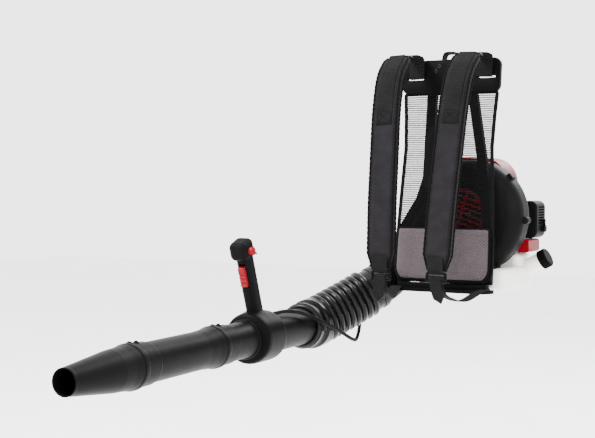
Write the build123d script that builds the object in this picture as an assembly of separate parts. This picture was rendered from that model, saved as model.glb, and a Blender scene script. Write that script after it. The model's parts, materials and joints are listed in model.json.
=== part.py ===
"""Backpack leaf blower, as separate parts.

Frame: +Z up, -Y towards the wearer, origin on the middle of the base's underside.
Lengths are in millimetres, angles in degrees.
"""
from build123d import *
import os
from math import atan2, cos, degrees, hypot, pi, radians, sin, tan

# ---------------------------------------------------------------- running clearances
SHAFT_GAP = 0.05           # radial, a shaft in its own hole
RUN_GAP = 0.35             # between faces that move past each other
SEAT_GAP = 0.2             # between still parts that lie side by side

# ---------------------------------------------------------------- harness and base
BASE_WIDTH = 236.0
BASE_FRONT = -10.0
BASE_DEPTH = 250.0
BASE_PLATE = 8.0
BASE_CORNER = 28.0
NOTCH_X = 92.0             # the plate's right rear is cut away for the tank
NOTCH_Y = 24.0
BASE_BAR_HEIGHT = 20.0
BASE_BAR_DEPTH = 14.0
PANEL_FOOT_Y = 10.0        # where the back panel's rear face meets the base
PANEL_LEAN = 6.2           # the panel leans away from the wearer going up
UPRIGHT_WIDTH = 22.0
UPRIGHT_THICK = 13.0
UPRIGHT_TOP_X = 50.0
UPRIGHT_FOOT_X = 104.0
YOKE_BOTTOM = 455.0
YOKE_HEIGHT = 78.0
YOKE_WIDTH = 239.0
YOKE_THICK = 12.0
YOKE_CORNER = 16.0
SLOT_X = 88.0
SLOT_RISE = 35.0           # slot centre above the yoke's bottom edge
SLOT_WIDTH = 42.0
SLOT_HEIGHT = 6.0
MESH_BOTTOM = 24.0
MESH_SIDE = 118.0          # half width at the bottom
MESH_WAIST = 106.0         # half width at the waist
MESH_WAIST_RISE = 330.0
MESH_TOP_SIDE = 113.0
MESH_THICK = 1.6
BINDING_WIDTH = 7.0
BINDING_THICK = 4.0
PAD_BOTTOM = 24.0
PAD_TOP = 142.0
PAD_SIDE = 108.0
PAD_THICK = 19.0
CARRY_SPAN = 62.0
CARRY_RISE = 30.0
CARRY_WIDTH = 24.0
WEB_THICK = 2.0

# ---------------------------------------------------------------- shoulder straps
STRAP_X = 84.0             # strap centre at its top
STRAP_TOE_IN = 2.3
STRAP_WIDTH = 60.0
STRAP_THICK = 20.0
STRAP_LINE = [(-46, 526), (-94, 487), (-122, 407), (-139, 309), (-159, 201), (-171, 94), (-173, 62)]
STRAP_BEND = 60.0
WEB_WIDTH = 38.0
SEWN_END = 375.0           # height at which the sewn webbing ends
BUCKLE_WIDTH = 48.0
BUCKLE_LENGTH = 24.0
BUCKLE_THICK = 5.0
LOWER_WEB_WIDTH = 25.0
LOWER_ANCHOR = (108.0, 4.0, 10.0)

# ---------------------------------------------------------------- fan casing
FAN_X = 24.0
FAN_Z = 174.0
CASE_X = 33.0              # centre of the round casing, beside the fan's axis
CASE_Z = 171.0
CASE_RADIUS = 131.0
CASE_FRONT = 60.0
CASE_DEPTH = 92.0
CASE_ROUND = 34.0
CASE_WALL = 3.0
INLET_RADIUS = 62.0
GRILLE_THICK = 6.0
GRILLE_BARS = 9
FOOT_X = (-20.0, 76.0)     # the casing's two feet and their isolators
DUCT_RADIUS = 46.0
DUCT_ANGLE = 35.4          # outlet direction, from straight down towards -X
DUCT_LENGTH = 150.0
FAN_RADIUS = 100.0
FAN_BLADES = 14
FAN_HUB = 22.0

# ---------------------------------------------------------------- engine
SHAFT_RADIUS = 8.0
CASE_BACK_GAP = 4.0
CRANKCASE_DEPTH = 68.0
CRANKCASE_RADIUS = 42.0
CRANKCASE_WALL = 7.0
WEB_RADIUS = 30.0
CRANK_WEB = 8.0
CRANK_THROW = 15.0
CRANK_PIN = 5.0
BORE_RADIUS = 21.0
CYLINDER_HEIGHT = 62.0
FIN_COUNT = 7
FIN_WIDTH = 76.0
FIN_THICK = 2.2
PISTON_HEIGHT = 26.0
FLYWHEEL_RADIUS = 50.0
FLYWHEEL_THICK = 14.0
STARTER_RADIUS = 78.0
STARTER_DEPTH = 40.0
STARTER_WALL = 2.5
PULLEY_RADIUS = 24.0
PULLEY_THICK = 9.0
ROPE_RADIUS = 1.8
CARB_X = 70.0
CARB_SIZE = (34.0, 34.0, 36.0)
PRIMER_RADIUS = 9.0
PRIMER_TRAVEL = 4.0
CLEANER_BOX = ((106.0, 188.0, 118.0), (160.0, 250.0, 205.0))
CLEANER_WALL = 2.5
CLEANER_ROUND = 16.0
TANK_BOX = ((-52.0, 158.0, 9.0), (128.0, 252.0, 84.0))
TANK_WALL = 2.5
TANK_ROUND = 16.0
NECK_RADIUS = 17.0
NECK_TILT = 62.0           # from straight up towards +X
TANK_LOBE = ((97.0, 34.0, 1.0), (140.0, 252.0, 54.0))
NECK_ROOT = 29.0           # the filler neck's reach into the tank
NECK_TIP = 47.0
CAP_RADIUS = 22.0
CAP_HEIGHT = 20.0
CAP_COVER = 13.0           # how far the cap comes down over the neck
CAP_RIBS = 24

# ---------------------------------------------------------------- air pipe
HOSE_REAR = Vector(-190, 25, -6)
HOSE_REAR_DIR = Vector(-0.55, -0.70, -0.45).normalized()
CUFF = Vector(-269, -183, -76)        # on the tube's axis, in front of the hose
NOZZLE_END = Vector(-204, -1055, -71)
HOSE_OUTER = 50.0          # the plain cuff at each end
HOSE_CREST = 57.0          # over the bellows' corrugations
HOSE_CUFF = 34.0
HOSE_MOUTH = 12.0          # how far the hose's mouth is behind the cuff point
HOSE_WALL = 2.5
HOSE_RUN = 75.0
ELBOW_RUN = 50.0
ELBOW_WALL = 3.0
SLEEVE = 24.0              # how far the hose covers the elbow's end
TUBE_RADIUS = 37.5
TUBE_WALL = 2.0
TUBE_REAR = -60.0          # the tube's rear end, inside the hose
SOCKET_WALL = 2.2
SLEEVE_WALL = 3.5          # the thicker rear part of the swivel tube
SOCKET_LENGTH = 54.0
STEP_LENGTH = 4.0
SOCKET_INSET = 50.0        # how far one tube goes into the next one's socket
RING_2 = 390.0
RING_1 = 686.0
RING_3 = 256.0
RING_WIDTH = 10.0
RING_HEIGHT = 3.0
PEG_RADIUS = 4.0
PEG_HEIGHT = 9.0
TWIST_RANGE = 25.0
NOZZLE_RADIUS = 24.5
NOZZLE_TAPER = 125.0
NOZZLE_WALL = 2.0

# ---------------------------------------------------------------- control handle
COLLAR_START = 155.0
COLLAR_END = 248.0
COLLAR_OUTER = 54.0
COLLAR_WALL = 4.0
COLLAR_SLANT = 4.0
COLLAR_ROUND = 10.0        # the bevel round its rear edge
GRIP_FOOT = (206.0, 48.0)  # distance along the tube and height over its axis
GRIP_LEAN = 21.5
GRIP_LENGTH = 138.0
GRIP_DEPTH = 34.0
GRIP_WIDTH = 30.0
HEAD_LENGTH = 46.0
HEAD_HEIGHT = 40.0
HEAD_WIDTH = 40.0
GRIP_WALL = 2.5
TRIGGER_LENGTH = 44.0
TRIGGER_DEPTH = 14.0
TRIGGER_WIDTH = 13.0
TRIGGER_RISE = 97.0        # trigger pivot, up the grip from its foot
KNOB_RADIUS = 8.5
KNOB_THICK = 8.0
LEVER_REACH = 24.0
LEVER_TURN = 143.0         # the lever points down and back
CABLE_RADIUS = 4.2

PANEL = Plane(origin=(0, PANEL_FOOT_Y, 0), x_dir=(1, 0, 0),
              z_dir=(0, -cos(radians(PANEL_LEAN)), sin(radians(PANEL_LEAN))))
TUBE_DIR = (NOZZLE_END - CUFF).normalized()
TUBE_SIDE = Vector(0, 0, 1).cross(TUBE_DIR).normalized()
TUBE = Plane(origin=CUFF, x_dir=TUBE_SIDE, z_dir=TUBE_DIR)
TUBE_END = (NOZZLE_END - CUFF).length
DUCT_DIR = Vector(-sin(radians(DUCT_ANGLE)), 0, -cos(radians(DUCT_ANGLE)))
DUCT_SIDE = Vector(-cos(radians(DUCT_ANGLE)), 0, sin(radians(DUCT_ANGLE)))
CASE_BACK = CASE_FRONT + CASE_DEPTH
CASE_MID = CASE_FRONT + CASE_DEPTH / 2
DUCT_TOP = Vector(CASE_X, CASE_MID, CASE_Z) + DUCT_SIDE * (CASE_RADIUS - DUCT_RADIUS)
DUCT_END = DUCT_TOP + DUCT_DIR * DUCT_LENGTH
CRANK_FRONT = CASE_BACK + CASE_BACK_GAP
CRANK_BACK = CRANK_FRONT + CRANKCASE_DEPTH
CRANK_MID = (CRANK_FRONT + CRANK_BACK) / 2
STARTER_FRONT = CRANK_BACK + 1.0
STARTER_BACK = STARTER_FRONT + STARTER_DEPTH

PARTS = {}


def keep(name, shape):
    """Collect one finished part under its node name."""
    PARTS[name] = shape
    return shape


def group(shapes):
    """Several separate solids in one node."""
    return Compound(children=[solid for shape in shapes for solid in shape.solids()])


def along_y(radius, start, end, x=FAN_X, z=FAN_Z):
    """A round bar along +Y from start to end."""
    turn = Rot(-90, 0, 0)
    return Pos(x, (start + end) / 2, z) * turn * Cylinder(radius, end - start)


def ring_y(outer, inner, start, end, x=FAN_X, z=FAN_Z):
    """A round ring along +Y."""
    return along_y(outer, start, end, x, z) - along_y(inner, start - 1, end + 1, x, z)


def between(low, high):
    """A box from its low corner to its high corner."""
    size = [h - l for l, h in zip(low, high)]
    centre = [(h + l) / 2 for l, h in zip(low, high)]
    return Pos(*centre) * Box(*size)


def panel_part(face, start, end):
    """A flat outline on the back panel, thick from start to end towards the wearer."""
    return PANEL.location * Pos(0, 0, start) * extrude(face, end - start)


def on_tube(shape):
    """Move a shape drawn about +Z onto the blower tube's axis."""
    return TUBE.location * shape


def pipe(outer, inner, start, end):
    """A straight round pipe along +Z."""
    wall = Circle(outer) - Circle(inner)
    return Pos(0, 0, start) * extrude(wall, end - start)


def bend_radii(points):
    """The largest radius each corner of a route has room for."""
    radii = []
    for before, corner, after in zip(points, points[1:], points[2:]):
        run_in = corner - before
        run_out = after - corner
        turn = run_in.get_angle(run_out)
        radii.append(0.45 * min(run_in.length, run_out.length) / tan(radians(turn / 2)))
    return radii


def route(points):
    """Straight runs through the points, joined by tangent arcs."""
    return FilletPolyline(*points, radius=bend_radii(points))


def swept_round(points, outer, inner=0.0):
    """A round bar, or a pipe, along a route."""
    path = route(points)
    start = Plane(origin=points[0], z_dir=(points[1] - points[0]).normalized())
    solid = sweep(start.location * Circle(outer), path=path)
    if inner > 0:
        solid = solid - sweep(start.location * Circle(inner), path=path)
    return solid


def swept_band(points, width, thick, flat_dir, bend=STRAP_BEND):
    """A flat band along a planar route, its width along flat_dir."""
    path = FilletPolyline(*points, radius=[min(r, bend) for r in bend_radii(points)])
    start = Plane(origin=points[0], x_dir=flat_dir, z_dir=(points[1] - points[0]).normalized())
    return sweep(start.location * Rectangle(width, thick), path=path)


# ================================================================ harness
def make_base():
    plate = Pos(0, BASE_FRONT + BASE_DEPTH / 2) * RectangleRounded(BASE_WIDTH, BASE_DEPTH, BASE_CORNER)
    plate -= Pos(NOTCH_X + BASE_WIDTH / 2, NOTCH_Y + BASE_DEPTH) * Rectangle(BASE_WIDTH, 2 * BASE_DEPTH)
    base = extrude(plate, BASE_PLATE)
    inset = 9.0
    bar = between((-BASE_WIDTH / 2 + inset, 0, BASE_PLATE),
                  (BASE_WIDTH / 2 - inset, BASE_BAR_DEPTH, BASE_BAR_HEIGHT))
    bar = fillet(bar.edges().filter_by(Axis.X).group_by(Axis.Z)[-1], 3)
    return keep("base_frame", base + bar)


def upright_outline(side):
    """One upright's bent band, from the base to behind the yoke."""
    top = YOKE_BOTTOM + YOKE_HEIGHT - 14
    bends = [(UPRIGHT_FOOT_X, 120), (80, 300)] if side > 0 else [(UPRIGHT_FOOT_X, 150), (66, 215), (52, 262)]
    line = [(UPRIGHT_FOOT_X, BASE_BAR_HEIGHT + SEAT_GAP), *bends,
            (UPRIGHT_TOP_X, YOKE_BOTTOM), (UPRIGHT_TOP_X - 4, top)]
    half = UPRIGHT_WIDTH / 2
    outer = [(side * (x + half), h) for x, h in line]
    inner = [(side * (x - half), h) for x, h in reversed(line)]
    return make_face(Polyline(*outer, *inner, close=True))


def make_uprights():
    bands = []
    for side in (-1, 1):
        band = panel_part(upright_outline(side), -UPRIGHT_THICK, 0)
        groove = panel_part(offset(upright_outline(side), -5), -UPRIGHT_THICK, -UPRIGHT_THICK + 4)
        bands.append(band - groove)
    keep("back_uprights", group(bands))


def make_yoke():
    centre = YOKE_BOTTOM + YOKE_HEIGHT / 2
    face = Pos(0, centre) * RectangleRounded(YOKE_WIDTH, YOKE_HEIGHT, YOKE_CORNER)
    for side in (-1, 1):
        face -= Pos(side * SLOT_X, YOKE_BOTTOM + SLOT_RISE) * SlotOverall(SLOT_WIDTH, SLOT_HEIGHT)
    yoke = panel_part(face, 0, YOKE_THICK)
    rim = 7.0
    dish = Pos(0, centre) * RectangleRounded(YOKE_WIDTH - 2 * SLOT_X + 16, YOKE_HEIGHT - 2 * rim, 10)
    return keep("yoke", yoke - panel_part(dish, YOKE_THICK - 3, YOKE_THICK))


def mesh_outline(grow=0.0):
    """The back mesh's outline: narrow at the waist, round at its lower corners."""
    top = YOKE_BOTTOM - SEAT_GAP
    side = MESH_SIDE + grow
    waist = MESH_WAIST + grow
    head = MESH_TOP_SIDE + grow
    low = MESH_BOTTOM - grow
    corner = 26.0
    right = [(side - corner, low), (side, low + corner), (waist, MESH_WAIST_RISE), (head, top)]
    foot = Line((-right[0][0], low), right[0])
    arc = TangentArc(right[0], right[1], tangent=(1, 0))
    flank = ThreePointArc(right[1], (waist + 3, (low + corner + MESH_WAIST_RISE) / 2 + 30), right[2])
    upper = Line(right[2], right[3])
    head_line = Line(right[3], (-head, top))
    lines = [foot, arc, flank, upper, head_line]
    lines += [mirror(piece, about=Plane.YZ) for piece in (arc, flank, upper)]
    return make_face(lines)


def make_back():
    keep("back_mesh", panel_part(mesh_outline(-BINDING_WIDTH), YOKE_THICK - 6, YOKE_THICK - 6 + MESH_THICK))
    edge = mesh_outline() - mesh_outline(-BINDING_WIDTH)
    keep("mesh_binding", panel_part(edge, YOKE_THICK - 8, YOKE_THICK - 8 + BINDING_THICK))
    centre = (PAD_TOP + PAD_BOTTOM) / 2
    face = Pos(0, centre) * RectangleRounded(2 * PAD_SIDE, PAD_TOP - PAD_BOTTOM, 22)
    pad = panel_part(face, YOKE_THICK - 4 + SEAT_GAP, YOKE_THICK - 4 + SEAT_GAP + PAD_THICK)
    keep("lumbar_pad", pad)


def make_carry_handle():
    """A webbing loop that stands up from the yoke's back face."""
    top = YOKE_BOTTOM + YOKE_HEIGHT
    half = CARRY_SPAN / 2
    shoulder = 14.0
    points = [Vector(-half, top - 34, 0), Vector(-half, top + CARRY_RISE - shoulder, 0),
              Vector(-shoulder, top + CARRY_RISE, 0), Vector(shoulder, top + CARRY_RISE, 0),
              Vector(half, top + CARRY_RISE - shoulder, 0), Vector(half, top - 34, 0)]
    path = FilletPolyline(*points, radius=9)
    start = Plane(origin=points[0], x_dir=(1, 0, 0), z_dir=(0, 1, 0))
    strip = sweep(start.location * Rectangle(WEB_THICK, CARRY_WIDTH), path=path)
    depth = UPRIGHT_THICK + SEAT_GAP + CARRY_WIDTH / 2
    keep("carry_handle", PANEL.location * Pos(0, 0, -depth) * strip)


# ================================================================ shoulder straps
def strap_lean(shape, side):
    """Lean a strap drawn on the plane X = 0 so that its foot is nearer the middle."""
    top_height = STRAP_LINE[0][1]
    leant = Pos(0, 0, top_height) * Rot(0, side * STRAP_TOE_IN, 0) * Pos(0, 0, -top_height) * shape
    return Pos(side * STRAP_X, 0, 0) * leant


def strap_band(line, width, thick, bend=STRAP_BEND):
    """A band along a line given as (y, z), its width along X."""
    points = [Vector(0, y, z) for y, z in line]
    return swept_band(points, width, thick, (1, 0, 0), bend)


def shifted(line, distance):
    """A line moved sideways, to the wearer's far side, by a distance."""
    moved = []
    for i, (y, z) in enumerate(line):
        before = line[max(i - 1, 0)]
        after = line[min(i + 1, len(line) - 1)]
        run = hypot(after[0] - before[0], after[1] - before[1])
        moved.append((y + distance * (after[1] - before[1]) / run,
                      z - distance * (after[0] - before[0]) / run))
    return moved


def ladder_buckle():
    """A flat ladder-lock buckle with two webbing slots."""
    frame = Box(BUCKLE_WIDTH, BUCKLE_LENGTH, BUCKLE_THICK)
    for shift in (-1, 1):
        frame -= Pos(0, shift * BUCKLE_LENGTH / 4, 0) * Box(WEB_WIDTH + 2, 6, BUCKLE_THICK * 2)
    return frame


def make_straps():
    face_gap = STRAP_THICK / 2 + 2 * SEAT_GAP + WEB_THICK / 2
    sewn = [(y, z) for y, z in shifted(STRAP_LINE, face_gap) if z > SEWN_END]
    foot_y, foot_z = STRAP_LINE[-1]
    head_y, head_z = STRAP_LINE[0]
    buckles = []
    sewn_bands = []
    top_bands = []
    low_bands = []
    for name, side in (("left", -1), ("right", 1)):
        strap = strap_band(STRAP_LINE, STRAP_WIDTH, STRAP_THICK)
        keep("shoulder_strap_" + name, strap_lean(strap, side))
        band = strap_band(sewn, WEB_WIDTH, WEB_THICK, STRAP_BEND + face_gap)
        sewn_bands.append(strap_lean(band, side))
        top_buckle = Pos(0, head_y + BUCKLE_LENGTH / 2 + 3, head_z + 3) * Rot(-6, 0, 0) * ladder_buckle()
        low_buckle = Pos(0, foot_y - 2, foot_z - BUCKLE_LENGTH / 2 - 2) * Rot(84, 0, 0) * ladder_buckle()
        buckles += [strap_lean(top_buckle, side), strap_lean(low_buckle, side)]
        top_bands.append(strap_lean(top_webbing(), side))
        low_bands.append(lower_webbing(side))
    keep("strap_buckles", group(buckles))
    keep("sewn_webbing", group(sewn_bands))
    keep("top_webbing", group(top_bands))
    keep("lower_webbing", group(low_bands))


def top_webbing():
    """Webbing from the yoke's slot, up its face and forward over the buckle."""
    head_y, head_z = STRAP_LINE[0]
    slot_rise = YOKE_BOTTOM + SLOT_RISE
    face_y = PANEL_FOOT_Y + slot_rise * sin(radians(PANEL_LEAN)) - YOKE_THICK - 3
    top_z = (YOKE_BOTTOM + YOKE_HEIGHT) * cos(radians(PANEL_LEAN))
    points = [Vector(0, face_y, top_z - 36), Vector(0, face_y + 3, top_z + 4),
              Vector(0, face_y - 30, top_z + 12), Vector(0, head_y + BUCKLE_LENGTH + 8, head_z + 8)]
    return swept_band(points, WEB_WIDTH, WEB_THICK, (1, 0, 0))


def lower_webbing(side):
    """Webbing from the strap's foot buckle, hanging down and back to the base's corner."""
    foot_y, foot_z = STRAP_LINE[-1]
    drop = (STRAP_LINE[0][1] - foot_z) * tan(radians(STRAP_TOE_IN))
    start = Vector(side * (STRAP_X - drop), foot_y - 2, foot_z - BUCKLE_LENGTH - 5)
    anchor = Vector(side * LOWER_ANCHOR[0], LOWER_ANCHOR[1] - 8, LOWER_ANCHOR[2])
    run = anchor - start
    low = [start, start + run * 0.10 + Vector(0, 0, -34), start + run * 0.50 + Vector(0, 0, -40),
           anchor + run * -0.12 + Vector(0, 0, -6), anchor]
    flat = Vector(0, 0, 1).cross(Vector(run.X, run.Y, 0)).normalized()
    return swept_band(low, LOWER_WEB_WIDTH, WEB_THICK, flat)


# ================================================================ fan casing
def donut(grow):
    """The round casing: a disc with well rounded rims, smaller by grow all round."""
    radius = CASE_RADIUS - grow
    depth = CASE_DEPTH - 2 * grow
    disc = along_y(radius, CASE_FRONT + grow, CASE_FRONT + grow + depth, CASE_X, CASE_Z)
    rims = disc.edges().filter_by(GeomType.CIRCLE)
    return fillet(rims, CASE_ROUND - grow)


def duct(radius):
    """The outlet duct's bore or outside, from inside the casing to its end."""
    length = DUCT_LENGTH
    start = Plane(origin=DUCT_TOP, z_dir=DUCT_DIR)
    return start.location * Pos(0, 0, length / 2) * Cylinder(radius, length)


def make_casing():
    outer = donut(0) + duct(DUCT_RADIUS)
    inner = donut(CASE_WALL) + duct(DUCT_RADIUS - CASE_WALL)
    reach = Plane(origin=DUCT_END, z_dir=DUCT_DIR)
    inner += reach.location * Cylinder(DUCT_RADIUS - CASE_WALL, 20)
    shell = outer - inner
    shell -= along_y(INLET_RADIUS, CASE_FRONT - 5, CASE_FRONT + CASE_WALL + 6)
    shell -= along_y(SHAFT_RADIUS + 4, CASE_BACK - CASE_WALL - 2, CASE_BACK + 2)
    span = 3 * CASE_RADIUS
    front_box = between((-span, CASE_FRONT - 5, -span), (span, CASE_MID, 2 * span))
    back_box = between((-span, CASE_MID, -span), (span, CASE_BACK + 5, 2 * span))
    front = shell & front_box
    upper = front & between((-span, -span, CASE_Z), (span, span, 2 * span))
    lower = front & between((-span, -span, -span), (span, span, CASE_Z))
    boss_x = CASE_X + (CASE_RADIUS + 5) * 0.985
    boss = Pos(boss_x, CASE_MID - 9, CASE_Z - 8) * Rot(-90, 0, 0) * Cylinder(8, 18)
    boss = (boss - donut(CASE_WALL / 2)) & between((-span, CASE_FRONT, 0), (span, CASE_MID, CASE_Z))
    clip_angle = 43.0
    clip_x = CASE_X + CASE_RADIUS * cos(radians(clip_angle))
    clip_z = CASE_Z + CASE_RADIUS * sin(radians(clip_angle))
    clip = Pos(clip_x, CASE_MID - 9, clip_z) * Rot(0, -clip_angle, 0) * Box(14, 18, 16)
    clip = fillet(clip.edges().filter_by(Axis.Y), 3) - donut(CASE_WALL / 2)
    keep("volute_front_upper", upper + clip)
    keep("volute_front_lower", lower + boss)
    back = shell & back_box
    for x in FOOT_X:
        foot = between((x - 14, CASE_MID + 4, 34), (x + 14, CASE_MID + 34, 70)) - donut(CASE_WALL / 2)
        back += foot
    keep("volute_back", back)
    isolators = [Pos(x, CASE_MID + 19, (34 + BASE_PLATE) / 2) * Cylinder(11, 34 - BASE_PLATE)
                 for x in FOOT_X]
    keep("isolator_mounts", group(isolators))


def make_grille():
    disc = along_y(INLET_RADIUS - SEAT_GAP, CASE_FRONT - GRILLE_THICK, CASE_FRONT)
    pitch = 2 * (INLET_RADIUS - 8) / GRILLE_BARS
    for i in range(GRILLE_BARS):
        offset_z = -INLET_RADIUS + 8 + pitch * (i + 0.5)
        half = (max((INLET_RADIUS - 8) ** 2 - offset_z ** 2, 0)) ** 0.5 - 3
        for side in (-1, 1):
            slot = Box(half - 3, 3 * GRILLE_THICK, pitch * 0.55)
            place = Pos(side * (half + 3) / 2, CASE_FRONT - GRILLE_THICK / 2, offset_z)
            disc -= Pos(FAN_X, 0, FAN_Z) * Rot(0, 18, 0) * place * slot
    keep("inlet_grille", disc)


def make_fan():
    """Backplate, hub and backward-curved blades, a slide fit on the crankshaft."""
    back = CASE_BACK - CASE_WALL - 8
    plate = ring_y(FAN_RADIUS, SHAFT_RADIUS, back - 3, back)
    hub = ring_y(FAN_HUB, SHAFT_RADIUS, back - 40, back - 3)
    wheel = plate + hub
    inner_radius = INLET_RADIUS - 6
    mean = (inner_radius + FAN_RADIUS) / 2
    length = FAN_RADIUS - inner_radius
    depth = CASE_DEPTH - 2 * CASE_WALL - 26
    blade = Box(length, depth, 2.5)
    for i in range(FAN_BLADES):
        spin = Rot(0, i * 360 / FAN_BLADES, 0)
        wheel += Pos(FAN_X, back - 3 - depth / 2, FAN_Z) * spin * Pos(mean - 3, 0, 0) * Rot(0, 28, 0) * blade
    keep("impeller", wheel)


# ================================================================ engine
def make_crank():
    shaft = along_y(SHAFT_RADIUS, CASE_MID, CRANK_BACK + FLYWHEEL_THICK + 6)
    gap = 5.0
    for start, end in ((CRANK_MID - gap - CRANK_WEB, CRANK_MID - gap), (CRANK_MID + gap, CRANK_MID + gap + CRANK_WEB)):
        shaft += along_y(WEB_RADIUS, start, end)
    shaft -= along_y(SHAFT_RADIUS + 1, CRANK_MID - gap, CRANK_MID + gap)
    shaft += along_y(CRANK_PIN, CRANK_MID - gap, CRANK_MID + gap, FAN_X, FAN_Z - CRANK_THROW)
    keep("crankshaft", shaft)
    seats = ((CRANK_FRONT + 2, CRANK_FRONT + 12), (CRANK_BACK - 12, CRANK_BACK - 2))
    rings = [ring_y(17, SHAFT_RADIUS + SHAFT_GAP, start, end) for start, end in seats]
    keep("crank_bearings", group(rings))
    shell = along_y(CRANKCASE_RADIUS, CRANK_FRONT, CRANK_BACK)
    shell -= along_y(CRANKCASE_RADIUS - CRANKCASE_WALL, CRANK_FRONT + 14, CRANK_BACK - 14)
    shell -= along_y(17, CRANK_FRONT + 2, CRANK_BACK - 2)
    shell -= along_y(SHAFT_RADIUS + 2, CRANK_FRONT - 1, CRANK_BACK + 1)
    shell -= Pos(FAN_X, CRANK_MID, FAN_Z + CRANKCASE_RADIUS) * Cylinder(BORE_RADIUS, CRANKCASE_RADIUS)
    deck = FAN_Z + CRANKCASE_RADIUS - 4
    shell &= between((-99, 0, 0), (199, 399, deck))
    for x in (-24, 24):
        shell += between((FAN_X + x - 6, CASE_BACK, FAN_Z - 38), (FAN_X + x + 6, CRANK_FRONT + 8, FAN_Z - 24))
    keep("crankcase", shell)
    return deck


def make_cylinder(deck):
    barrel = Pos(FAN_X, CRANK_MID, deck + CYLINDER_HEIGHT / 2) * Cylinder(BORE_RADIUS + 6, CYLINDER_HEIGHT)
    pitch = (CYLINDER_HEIGHT - 12) / FIN_COUNT
    for i in range(FIN_COUNT):
        fin = RectangleRounded(FIN_WIDTH, CRANKCASE_DEPTH - 8, 12)
        barrel += Pos(FAN_X, CRANK_MID, deck + 12 + i * pitch) * extrude(fin, FIN_THICK)
    bore = Pos(FAN_X, CRANK_MID, deck + (CYLINDER_HEIGHT - 10) / 2 - 1) * Cylinder(BORE_RADIUS, CYLINDER_HEIGHT - 8)
    plug_hole = Pos(FAN_X, CRANK_MID, deck + CYLINDER_HEIGHT) * Cylinder(5, 30)
    keep("cylinder", barrel - bore - plug_hole)
    piston_z = deck + 34
    piston = Pos(FAN_X, CRANK_MID, piston_z) * Cylinder(BORE_RADIUS - SHAFT_GAP, PISTON_HEIGHT)
    piston -= Pos(FAN_X, CRANK_MID, piston_z - 4) * Cylinder(BORE_RADIUS - 4, PISTON_HEIGHT)
    wrist = Pos(FAN_X, CRANK_MID, piston_z) * Rot(0, 90, 0) * Cylinder(3.5, 2 * BORE_RADIUS - 8 + 2 * SEAT_GAP)
    wrist &= Pos(FAN_X, CRANK_MID, piston_z) * Cylinder(BORE_RADIUS - 4, PISTON_HEIGHT)
    rod_low = FAN_Z + WEB_RADIUS + 2
    rod = between((FAN_X - 4, CRANK_MID - 4, rod_low), (FAN_X + 4, CRANK_MID + 4, piston_z))
    rod += Pos(FAN_X, CRANK_MID, piston_z) * Rot(0, 90, 0) * Cylinder(7, 10)
    rod -= Pos(FAN_X, CRANK_MID, piston_z) * Rot(0, 90, 0) * Cylinder(3.5 + SHAFT_GAP, 30)
    keep("piston_and_rod", group([piston, wrist, rod]))
    top = deck + CYLINDER_HEIGHT
    plug = Pos(FAN_X, CRANK_MID, top + 1) * Cylinder(5, 18)
    plug += Pos(FAN_X, CRANK_MID, top + 5) * extrude(RegularPolygon(9, 6), 6)
    keep("spark_plug", plug)
    boot = Pos(FAN_X, CRANK_MID, top + 11 + 9) * Cylinder(8, 18)
    boot -= Pos(FAN_X, CRANK_MID, top + 6) * Cylinder(5 + SEAT_GAP, 12)
    keep("plug_boot", boot)


def make_ignition():
    wheel = ring_y(FLYWHEEL_RADIUS, SHAFT_RADIUS, CRANK_BACK + 2, CRANK_BACK + 2 + FLYWHEEL_THICK - 4)
    for i in range(12):
        spin = Rot(0, i * 30, 0)
        fin = Box(16, 5, 2.5)
        wheel += Pos(FAN_X, CRANK_BACK + FLYWHEEL_THICK, FAN_Z) * spin * Pos(FLYWHEEL_RADIUS - 10, 0, 0) * fin
    keep("flywheel", wheel)
    coil_low = FAN_Z + FLYWHEEL_RADIUS + 1
    keep("ignition_coil", between((FAN_X - 16, CRANK_BACK + 3, coil_low), (FAN_X + 16, CRANK_BACK + 13, coil_low + 18)))


def make_muffler(deck):
    right = FAN_X - FIN_WIDTH / 2 - 1
    body = between((right - 58, CRANK_FRONT + 6, deck - 14), (right, CRANK_BACK - 6, deck + 52))
    body = fillet(body.edges().filter_by(Axis.X), 10)
    cavity = offset(body, -1.5)
    port = Pos(right - 40, CRANK_MID + 8, deck - 14) * Cylinder(7, 12)
    keep("muffler", body - cavity - port)


def make_carburettor():
    width, depth, height = CARB_SIZE
    low = (CARB_X, CRANK_MID - depth / 2, FAN_Z - 18)
    body = between(low, (low[0] + width, low[1] + depth, low[2] + height))
    body -= Pos(CARB_X + width / 2, CRANK_MID, FAN_Z) * Rot(0, 90, 0) * Cylinder(9, width + 2)
    shaft_x = CARB_X + width / 2
    body -= Pos(shaft_x, CRANK_MID, low[2]) * Cylinder(PRIMER_RADIUS + RUN_GAP, 2 * PRIMER_TRAVEL + 4)
    body -= Pos(shaft_x, CRANK_MID - depth / 2 + 3, FAN_Z + 14) * Rot(90, 0, 0) * Cylinder(2 + SHAFT_GAP, 8)
    keep("carburettor", body)
    lever = Pos(shaft_x, CRANK_MID - depth / 2 + 1, FAN_Z + 14) * Rot(90, 0, 0) * Cylinder(2, 8)
    lever += Pos(shaft_x, CRANK_MID - depth / 2 - 3.5, FAN_Z + 14) * Rot(90, 0, 0) * Cylinder(5, 3)
    lever += between((shaft_x - 2, CRANK_MID - depth / 2 - 5, FAN_Z + 14), (shaft_x + 2, CRANK_MID - depth / 2 - 2, FAN_Z + 30))
    keep("throttle_lever", lever)
    bulb_z = low[2] - RUN_GAP
    bulb = Pos(shaft_x, CRANK_MID, bulb_z - 2) * Cylinder(PRIMER_RADIUS, 4)
    dome = Pos(shaft_x, CRANK_MID, bulb_z - 3) * Sphere(PRIMER_RADIUS - 0.5)
    bulb += dome & between((0, 0, bulb_z - 20), (199, 399, bulb_z - 3))
    keep("primer_bulb", bulb)


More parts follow.
